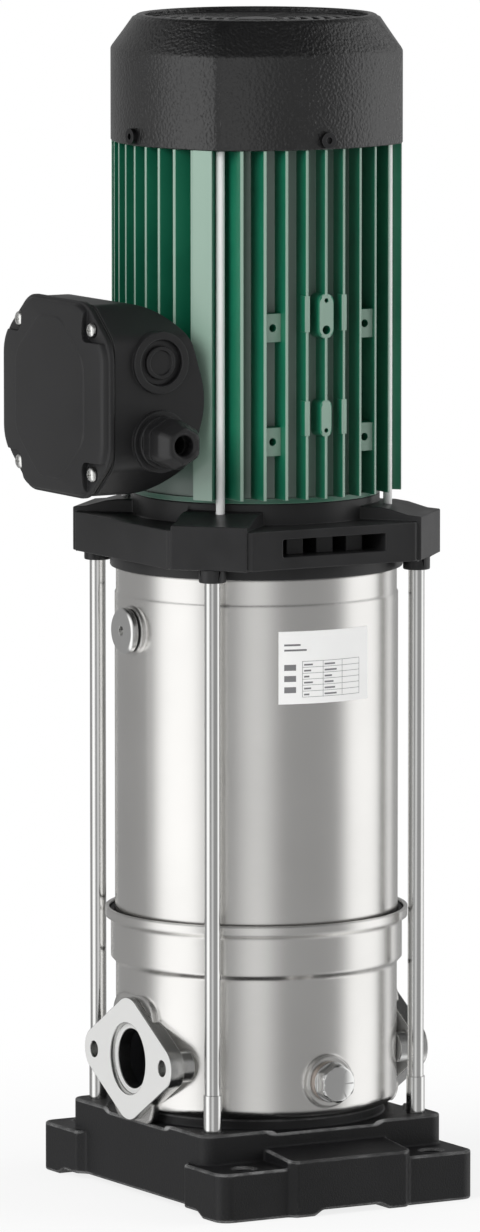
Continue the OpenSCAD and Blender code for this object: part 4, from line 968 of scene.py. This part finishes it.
def terminal_lid_shell():
    """Lid with a rim, sloped flanks, a raised panel with bowed sides and a pocket at each screw."""
    centre = (LID_LOW.z + LID_HIGH.z) / 2
    half_w = LID_HIGH.y
    half_h = (LID_HIGH.z - LID_LOW.z) / 2
    joint = LID_HIGH.x
    depth = joint - LID_LOW.x
    radius = 19 * MM

    def level(out, inset, r=radius, bow=0.0, side=0.0, cuts=1.0):
        """A ring of the lid at a distance out of the joint."""
        outline = box_outline(half_w - inset - side, half_h - inset, r, 14 * MM * cuts, 12 * MM * cuts, bow)
        return [(joint - out, y, centre + z) for y, z in outline]

    # How far each level of the rim and the flank stands out and in, in millimetres
    flank = ((0.0, 2.4), (0.0, 0.3), (0.4, 0.0), (2.2, 0.0), (2.8, 0.3), (3.1, 1.2), (4.6, 1.6), (5.6, 2.3),
             (6.3, 3.6))
    rings = [level(out * MM, inset * MM) for out, inset in flank] + [
        level(6.6 * MM, 5.2 * MM, 17 * MM, 0.03),
        level(depth - 0.6 * MM, 9.4 * MM, 15 * MM, 0.1, 9.6 * MM, 1.1),
        level(depth - 0.15 * MM, 9.8 * MM, 15 * MM, 0.1, 9.8 * MM, 1.1),
        level(depth, 10.6 * MM, 15 * MM, 0.1, 10.2 * MM, 1.1),
    ]
    lid = solid("box_lid", rings)
    head = 4 * MM
    inwards = 6.4 * MM
    outwards = 70 * MM
    near_y = SCREWS_HIGH.y - head - inwards
    near_z = SCREWS_HIGH.z - head - centre - inwards
    pockets = []
    for y, z in CORNERS:
        span_y = sorted((y * near_y, y * outwards))
        span_z = sorted((z * near_z, z * outwards))
        pockets.append(block("pocket", (LID_LOW.x - 5 * MM, span_y[0], centre + span_z[0]),
                             (joint - 3.1 * MM, span_y[1], centre + span_z[1]), 5 * MM, 6, along_x=True))
    cut(lid, pockets)
    shade(lid, CAST_ANGLE)
    return lid


def hexed(name, af, profile, steps=96, soft=0.06, closed=False):
    """A hexagon with a turned outline and slightly rounded corners, from (radius, height) points.

    Each radius is held inside the hexagon. A third number narrows the hexagon at that height.
    """
    side = math.pi / 6
    rings = []
    for r, z, *narrow in profile:
        ring = []
        half = af / 2 * (narrow[0] if narrow else 1.0)
        for i in range(steps):
            around = 2 * math.pi * i / steps
            away = (around + side) % (2 * side) - side
            flat = min(half / math.cos(away), half / math.cos(side) * (1 - soft * abs(away) / side))
            reach = min(r, flat)
            ring.append((reach * math.cos(around), reach * math.sin(around), z))
        rings.append(ring)
    return mesh_object(name, *skin(rings, closed, not closed, not closed), TURNED_ANGLE)


def screw_head(name, radius, height):
    """A pan head with a cross recess, standing on Z = 0."""
    profile = [(radius, 0.0), (radius, height * 0.35)]
    profile += [(radius * math.cos(a), height * (0.35 + 0.65 * math.sin(a)))
                for a in (0.35, 0.7, 1.0, 1.25, 1.45)]
    head = turned(name, profile, 40, SCREW_ANGLE)
    long, wide = radius * 0.55, 0.45 * MM
    cut(head, [beam("slot", (-x, -y, height * 0.3), (x, y, height * 2), 0.1 * MM) for x, y in
               ((long, wide), (wide, long))])
    shade(head, SCREW_ANGLE)
    return head


def lid_screw_heads():
    """The four screws of the lid."""
    height = 2.6 * MM
    radius = 4 * MM
    centre = (SCREWS_LOW.z + SCREWS_HIGH.z) / 2
    seat = SCREWS_LOW.x + height
    off_y = SCREWS_HIGH.y - radius
    off_z = SCREWS_HIGH.z - centre - radius
    screws = joined("lid_screw_heads", [
        stand(screw_head("lid_screw", radius, height), (seat, y * off_y, centre + z * off_z), (-1, 0, 0))
        for y, z in CORNERS])
    shade(screws, SCREW_ANGLE)
    return screws


def gland_pieces():
    """The gland's flange with its hexagon, and its dome nut."""
    x = (GLAND_LOW.x + GLAND_HIGH.x) / 2
    z = (GLAND_LOW.z + GLAND_HIGH.z) / 2
    wall = BOX_LOW.y
    outward = (0, -1, 0)
    flange_r = (GLAND_HIGH.x - GLAND_LOW.x) / 2
    flange_h = 2.4 * MM
    hexagon_h = 8.8 * MM
    af = 25 * MM
    bore = 6.9 * MM
    body = turned("gland_flange", [(bore, -1 * MM), (flange_r, -1 * MM)] + round_corner(
        flange_r, 1.9 * MM, flange_r - 0.5 * MM, flange_h, 0.5 * MM) + [(bore, flange_h)], closed=True)
    grip_profile = [(bore, flange_h), (af, flange_h), (af, hexagon_h), (bore, hexagon_h)]
    grip = hexed("gland_hex", af, grip_profile, closed=True)
    base = joined("gland_base", [stand(piece, (x, wall, z), outward) for piece in (body, grip)])
    front = wall - NUT_LOW.y
    back = wall - NUT_HIGH.y
    hole = 5.6 * MM
    thread = 10.2 * MM
    shoulder = back + 8 * MM
    # Radius, distance behind the front and share of the hexagon, over the dome
    curve = ((14.0, 7.3, 0.99), (13.6, 5.6, 0.94), (12.9, 3.9, 0.88), (12.0, 2.3, 0.82), (11.0, 0.9, 0.76),
             (10.0, 0.2, 0.71), (9.2, 0.0, 0.68), (6.9, 0.0, 0.66), (6.3, 0.5, 0.66))
    dome = [(thread, back), (af, back), (af, shoulder)]
    dome += [(r * MM, front - behind * MM, share) for r, behind, share in curve]
    dome += [(hole, front - 1.2 * MM), (hole, shoulder), (thread, back + 7 * MM)]
    nut = hexed("gland_dome", af - 0.6 * MM, dome, closed=True)
    return base, stand(nut, (x, wall, z), outward)


def blank_cap():
    """Blanking plug: a stepped disc that stands free in the collar of its entry."""
    shank = 9.9 * MM
    seat = -55 * MM
    steps = ((11.8, 0.0), (11.8, 0.4), (9.0, 0.5), (8.8, 0.7), (8.8, 2.5), (8.4, 2.9), (6.8, 2.9), (6.5, 2.6),
             (6.3, 1.9), (0.3, 1.9))
    profile = [(shank, -7 * MM), (shank, 0.0)] + [(r * MM, h * MM) for r, h in steps]
    x = (BLANK_LOW.x + BLANK_HIGH.x) / 2
    z = (BLANK_LOW.z + BLANK_HIGH.z) / 2
    return stand(turned("blank_cap", profile, 64, 30.0), (x, seat, z), (0, -1, 0))


def drain_plug():
    """Hexagon plug with a washer face and a thread shank, along -Y."""
    af = 19 * MM
    half = af / 2
    head = 8.5 * MM
    seat = DRAIN_LOW.y + head
    z = (DRAIN_LOW.z + DRAIN_HIGH.z) / 2
    collar = turned("plug_collar", SHANK + round_corner(
        half + 1.5 * MM, 1.0 * MM, half + 1.1 * MM, 1.4 * MM, 0.4 * MM) + [(PIN, 1.4 * MM)], 64)
    chamfer = [(half + 3.4 * MM, 1.3 * MM), (half + 1.5 * MM, head - 2.2 * MM),
               (half + 0.9 * MM, head - 1.3 * MM), (half + 0.1 * MM, head - 0.5 * MM),
               (half - 0.9 * MM, head), (PIN, head)]
    hexagon = hexed("plug_hex", af, [(PIN, 1.3 * MM)] + chamfer, soft=0.05)
    plug = joined("drain_plug_body", [collar, hexagon])
    shade(plug, TURNED_ANGLE)
    return stand(plug, (0, seat, z), (0, -1, 0))


def vent_plug():
    """Round plug with a bevelled rim and a hexagon socket, along -X."""
    head = 4 * MM
    rim = (VENT_HIGH.y - VENT_LOW.y) / 2
    seat = VENT_LOW.x + head
    z = (VENT_LOW.z + VENT_HIGH.z) / 2
    profile = SHANK + [
        (rim - 0.3 * MM, 0.0), (rim, 0.3 * MM), (rim, head - 1.3 * MM), (rim - 0.3 * MM, head - 0.9 * MM),
        (rim - 1.4 * MM, head - 0.1 * MM), (rim - 1.9 * MM, head), (PIN, head)]
    plug = turned("vent_plug_body", profile, 96, 25.0)
    cut(plug, [hexed("socket", 5 * MM, [(5 * MM, head - 3 * MM), (5 * MM, head + 2 * MM)], 48, 0.0)])
    shade(plug, 25.0)
    return stand(plug, (seat, 0, z), (-1, 0, 0))


class PumpOperator:
    """What the operators of this file share."""

    bl_options = {"REGISTER", "UNDO"}


class PUMP_OT_finish_nodes(PumpOperator, bpy.types.Operator):
    """Gives every CAD node the finish of its slot"""

    bl_idname = "pump.finish_nodes"
    bl_label = "Finish Nodes"

    def execute(self, context):
        for part in frame["record"]["subparts"]:
            wear(frame["nodes"][part["node"]], part["material_slot"])
        return {"FINISHED"}


class PUMP_OT_castings(PumpOperator, bpy.types.Operator):
    """Rounds the edges of the base and the lantern"""

    bl_idname = "pump.castings"
    bl_label = "Castings"

    def execute(self, context):
        s = sizes()
        base = rounded_copy("base_plate", "base_casting", s.casting_edge, 3)
        place(base, "pump", "cast_black", "base_plate")
        lantern = rounded_copy("lantern", "lantern_casting", s.lantern_edge)
        place(lantern, "pump", "lantern_black", "lantern")
        return {"FINISHED"}


class PUMP_OT_motor(PumpOperator, bpy.types.Operator):
    """Models the finned barrel, its pads with a painted highlight on their fronts, and the four long studs"""

    bl_idname = "pump.motor"
    bl_label = "Motor"

    def execute(self, context):
        place(motor_barrel(), "pump", "green_aluminium", "motor_housing")
        place(motor_pads(), "pump", "green_aluminium", kind="pads_with_highlight")
        place(stud_shanks(), "pump", "zinc_steel", "motor_studs", kind="white_zinc")
        return {"FINISHED"}


class PUMP_OT_flanges(PumpOperator, bpy.types.Operator):
    """Rounds the edges of both oval flanges and gives them their machined finish"""

    bl_idname = "pump.flanges"
    bl_label = "Flanges"

    def execute(self, context):
        for node in ("suction_flange", "discharge_flange"):
            copy = rounded_copy(node, node + "_body", sizes().flange_edge)
            place(copy, "pump", "machined_steel", node, kind="flange_steel")
        return {"FINISHED"}


class PUMP_OT_fan_cover(PumpOperator, bpy.types.Operator):
    """Models the fan cover with its shoulder and grille"""

    bl_idname = "pump.fan_cover"
    bl_label = "Fan Cover"

    def execute(self, context):
        place(fan_cover_shell(), "pump", "grained_plastic", "fan_cover")
        return {"FINISHED"}


class PUMP_OT_terminal_lid(PumpOperator, bpy.types.Operator):
    """Models the terminal box lid and its four screws"""

    bl_idname = "pump.terminal_lid"
    bl_label = "Terminal Lid"

    def execute(self, context):
        place(terminal_lid_shell(), "pump", "box_plastic", "terminal_lid")
        place(lid_screw_heads(), "pump", "zinc_steel", "lid_screws")
        return {"FINISHED"}


class PUMP_OT_cable_entries(PumpOperator, bpy.types.Operator):
    """Models the cable gland, its dome nut and the blanking plug"""

    bl_idname = "pump.cable_entries"
    bl_label = "Cable Entries"

    def execute(self, context):
        base, dome = gland_pieces()
        place(base, "pump", "gland_plastic", "cable_gland_body")
        shade(base, TURNED_ANGLE)
        place(dome, "pump", "gland_plastic", "cable_gland_nut")
        place(blank_cap(), "pump", "gland_plastic", "blanking_plug")
        return {"FINISHED"}


class PUMP_OT_plugs(PumpOperator, bpy.types.Operator):
    """Models the drain plug and the vent plug with their rounded edges"""

    bl_idname = "pump.plugs"
    bl_label = "Plugs"

    def execute(self, context):
        place(drain_plug(), "drain_plug", "machined_steel", "drain_plug")
        place(vent_plug(), "vent_plug", "machined_steel", "vent_plug")
        return {"FINISHED"}


class PUMP_OT_label(PumpOperator, bpy.types.Operator):
    """Models the rating label: a curved foil with plain ruled lines and blocks"""

    bl_idname = "pump.label"
    bl_label = "Rating Label"

    def execute(self, context):
        s = sizes()
        radius = JACKET_HIGH.y + 0.12 * MM
        foot = s.label_foot
        place(curved_plate("rating_label", radius, 0.0, 0.0, s.label_width, s.label_height, foot, 0.15 * MM),
              "pump", "stainless_sheet", kind="label_white")
        proud = radius + 0.13 * MM
        marks = [curved_plate("label_mark", proud, *mark, foot, 0.05 * MM) for mark in label_marks()]
        place(joined("label_rules", marks), "pump", "stainless_sheet", kind="label_ink")
        return {"FINISHED"}


def label_marks():
    """Rules and blocks of the label: left, low, width and height, in metres from its lower left corner."""
    s = sizes()
    marks = []
    rule = 0.22 * MM
    left = 13 * MM
    for row in range(7):
        marks.append((left, (3.5 + 3.2 * row) * MM, s.label_width - left - 7 * MM, rule))
    for row in range(6):
        low = (4.5 + 3.2 * row) * MM
        marks.append((left + 1 * MM, low, (3.0 + (row * 7) % 3) * MM, 0.9 * MM))
        marks.append((left + 13 * MM, low, (7.5 - (row * 5) % 4) * MM, 0.9 * MM))
    for column in (0.0, 12.0, 24.0, s.label_width / MM - 20.0):
        marks.append((left + column * MM, 3.5 * MM, rule, 19.4 * MM))
    for row, width in ((31.2, 9.0), (28.4, 12.5)):
        marks.append((3 * MM, row * MM, width * MM, 1.0 * MM))
    for row in (6.0, 12.0, 18.0):
        marks.append((3 * MM, row * MM, 6.5 * MM, 3.2 * MM))
    return marks


def curved_plate(name, radius, left, low, width, height, foot, thickness):
    """A thin plate on the jacket's front, bent to its curve; left and low count from the label's corner."""
    half = sizes().label_width / 2
    steps = max(2, int(width / (2.5 * MM)))
    outer = radius + thickness
    section = ((radius, low), (outer, low), (outer, low + height), (radius, low + height))
    rings = []
    for i in range(steps + 1):
        around = -math.pi / 2 + (left + width * i / steps - half) / radius
        rings.append([(r * math.cos(around), r * math.sin(around), foot + z) for r, z in section])
    return solid(name, rings, 30.0)


def band_direction(offset):
    """Direction of a studio band, turned by an offset from the camera's side of the pump."""
    around = bpy.context.scene.pump_studio.azimuth - math.pi / 2 + math.radians(offset)
    return (math.cos(around), math.sin(around), 0.0)


# Bright upright bands that metal mirrors: offset from the camera, half width, soft edge, strength
BANDS = (
    (-66.0, 13.0, 20.0, 0.95),
    (0.0, 2.0, 22.0, 0.45),
    (98.0, 12.0, 18.0, 0.85),
    (138.0, 2.0, 7.0, 0.75),
)
BAND_FLOOR = 0.33


def build_world():
    """Even light all round; bright steel sees soft upright bands, the camera sees white."""
    world = bpy.data.worlds.new("Studio")
    bpy.context.scene.world = world
    world.use_nodes = True
    tree = world.node_tree
    tree.nodes.clear()
    direction = add_node(tree, "TexCoord").outputs["Generated"]
    flat = vector_node(tree, "MULTIPLY", direction, (1.0, 1.0, 0.0))[0]
    level = vector_node(tree, "NORMALIZE", flat)[0]
    total = BAND_FLOOR
    for offset, half, soft, strength in BANDS:
        towards = vector_node(tree, "DOT_PRODUCT", level, band_direction(offset))["Value"]
        away = math_node(tree, "ARCCOSINE", math_node(tree, "MINIMUM", towards, 1.0))
        band = range_node(tree, away, math.radians(half), math.radians(half + soft), strength, 0.0)
        total = math_node(tree, "ADD", band, total)
    darker_above = range_node(tree, axes(tree, direction)["Z"], 0.4, 0.8, 1.0, 0.12)
    shine = math_node(tree, "MULTIPLY", total, darker_above)
    path = add_node(tree, "LightPath").outputs
    light = float_mix(tree, unseen_ray(tree, path), bpy.context.scene.pump_studio.fill, shine)
    strength = float_mix(tree, path["Is Camera Ray"], light, 1.0)
    background = add_node(tree, "Background", {"Color": rgba((1.0, 1.0, 1.0)), "Strength": strength})
    add_node(tree, "OutputWorld", {"Surface": background.outputs[0]})


def build_floor():
    """A pale floor that keeps the soft shadow; bright steel sees the studio through it."""
    bm = bmesh.new()
    bmesh.ops.create_circle(bm, cap_ends=True, radius=4.0, segments=96)
    floor = from_bmesh("floor", bm)
    floor.location.z = -0.2 * MM
    material = bpy.data.materials.new("Floor")
    material.use_nodes = True
    tree = material.node_tree
    tree.nodes.clear()
    matt = add_node(tree, "BsdfDiffuse", {"Color": rgba((0.9, 0.9, 0.9))}).outputs[0]
    glow = add_node(tree, "Emission").outputs[0]
    clear = add_node(tree, "BsdfTransparent").outputs[0]
    path = add_node(tree, "LightPath").outputs
    away = vector_node(tree, "LENGTH", object_point(tree))["Value"]
    share = math_node(tree, "MULTIPLY", path["Is Camera Ray"], range_node(tree, away, 0.12, 0.5, 0.82, 1.0))
    lit = add_node(tree, "MixShader", {0: share, 1: matt, 2: glow}).outputs[0]
    final = add_node(tree, "MixShader", {0: unseen_ray(tree, path), 1: lit, 2: clear}).outputs[0]
    add_node(tree, "OutputMaterial", {"Surface": final})
    floor.data.materials.append(material)


def build_lights():
    """Soft key light from the left of the camera and a weaker one from the right."""
    studio = bpy.context.scene.pump_studio
    for name, offset, height, strength in (("Key", -46.0, 28.0, 1.0), ("Side", 96.0, 22.0, 0.5)):
        lamp = bpy.data.lights.new(name, "SUN")
        lamp.energy = studio.key * strength
        lamp.angle = math.radians(40.0)
        obj = bpy.data.objects.new(name, lamp)
        bpy.context.scene.collection.objects.link(obj)
        obj.visible_glossy = False
        x, y, _ = band_direction(offset)
        rise = math.radians(height)
        towards = Vector((x * math.cos(rise), y * math.cos(rise), math.sin(rise)))
        obj.rotation_euler = towards.to_track_quat("Z", "Y").to_euler()


def build_camera():
    """The camera at the photograph's angle."""
    studio = bpy.context.scene.pump_studio
    camera = bpy.data.cameras.new("Camera")
    camera.lens = studio.lens
    camera.sensor_width = 36.0
    camera.shift_x = studio.shift
    camera.clip_end = 100.0
    obj = bpy.data.objects.new("Camera", camera)
    bpy.context.scene.collection.objects.link(obj)
    back = Vector((math.sin(studio.azimuth) * math.cos(studio.tilt),
                   -math.cos(studio.azimuth) * math.cos(studio.tilt), math.sin(studio.tilt)))
    obj.location = Vector((0, 0, studio.aim)) + back * studio.distance
    obj.rotation_euler = back.to_track_quat("Z", "Y").to_euler()
    bpy.context.scene.camera = obj


class PUMP_OT_stage(PumpOperator, bpy.types.Operator):
    """Builds the floor, the light and the camera"""

    bl_idname = "pump.stage"
    bl_label = "Stage"

    def execute(self, context):
        build_world()
        build_floor()
        build_lights()
        build_camera()
        context.scene.view_settings.view_transform = "Standard"
        return {"FINISHED"}


class PUMP_PT_panel(bpy.types.Panel):
    """Lists the pump's operators and settings"""

    bl_idname = "PUMP_PT_panel"
    bl_label = "Pump"
    bl_space_type = "VIEW_3D"
    bl_region_type = "UI"
    bl_category = "Pump"

    def draw(self, context):
        column = self.layout.column()
        for operator in OPERATORS:
            column.operator(operator.bl_idname)
        for group in (context.scene.pump_sizes, context.scene.pump_colours, context.scene.pump_studio):
            for name in group.__annotations__:
                column.prop(group, name)


OPERATORS = (
    PUMP_OT_stage, PUMP_OT_finish_nodes, PUMP_OT_castings, PUMP_OT_flanges, PUMP_OT_motor, PUMP_OT_fan_cover,
    PUMP_OT_terminal_lid, PUMP_OT_cable_entries, PUMP_OT_plugs, PUMP_OT_label,
)
CLASSES = (PumpSizes, PumpColours, PumpStudio) + OPERATORS + (PUMP_PT_panel,)


def register():
    """Registers the classes and hangs the settings on the scene."""
    for cls in CLASSES:
        bpy.utils.register_class(cls)
    bpy.types.Scene.pump_sizes = bpy.props.PointerProperty(type=PumpSizes)
    bpy.types.Scene.pump_colours = bpy.props.PointerProperty(type=PumpColours)
    bpy.types.Scene.pump_studio = bpy.props.PointerProperty(type=PumpStudio)


def unregister():
    """Takes the settings and the classes away again."""
    del bpy.types.Scene.pump_studio
    del bpy.types.Scene.pump_colours
    del bpy.types.Scene.pump_sizes
    for cls in reversed(CLASSES):
        bpy.utils.unregister_class(cls)


def main():
    """Builds everything in order."""
    register()
    bpy.ops.pump.stage()
    bpy.ops.pump.finish_nodes()
    bpy.ops.pump.castings()
    bpy.ops.pump.flanges()
    bpy.ops.pump.motor()
    bpy.ops.pump.fan_cover()
    bpy.ops.pump.terminal_lid()
    bpy.ops.pump.cable_entries()
    bpy.ops.pump.plugs()
    bpy.ops.pump.label()


if __name__ == "__main__":
    main()
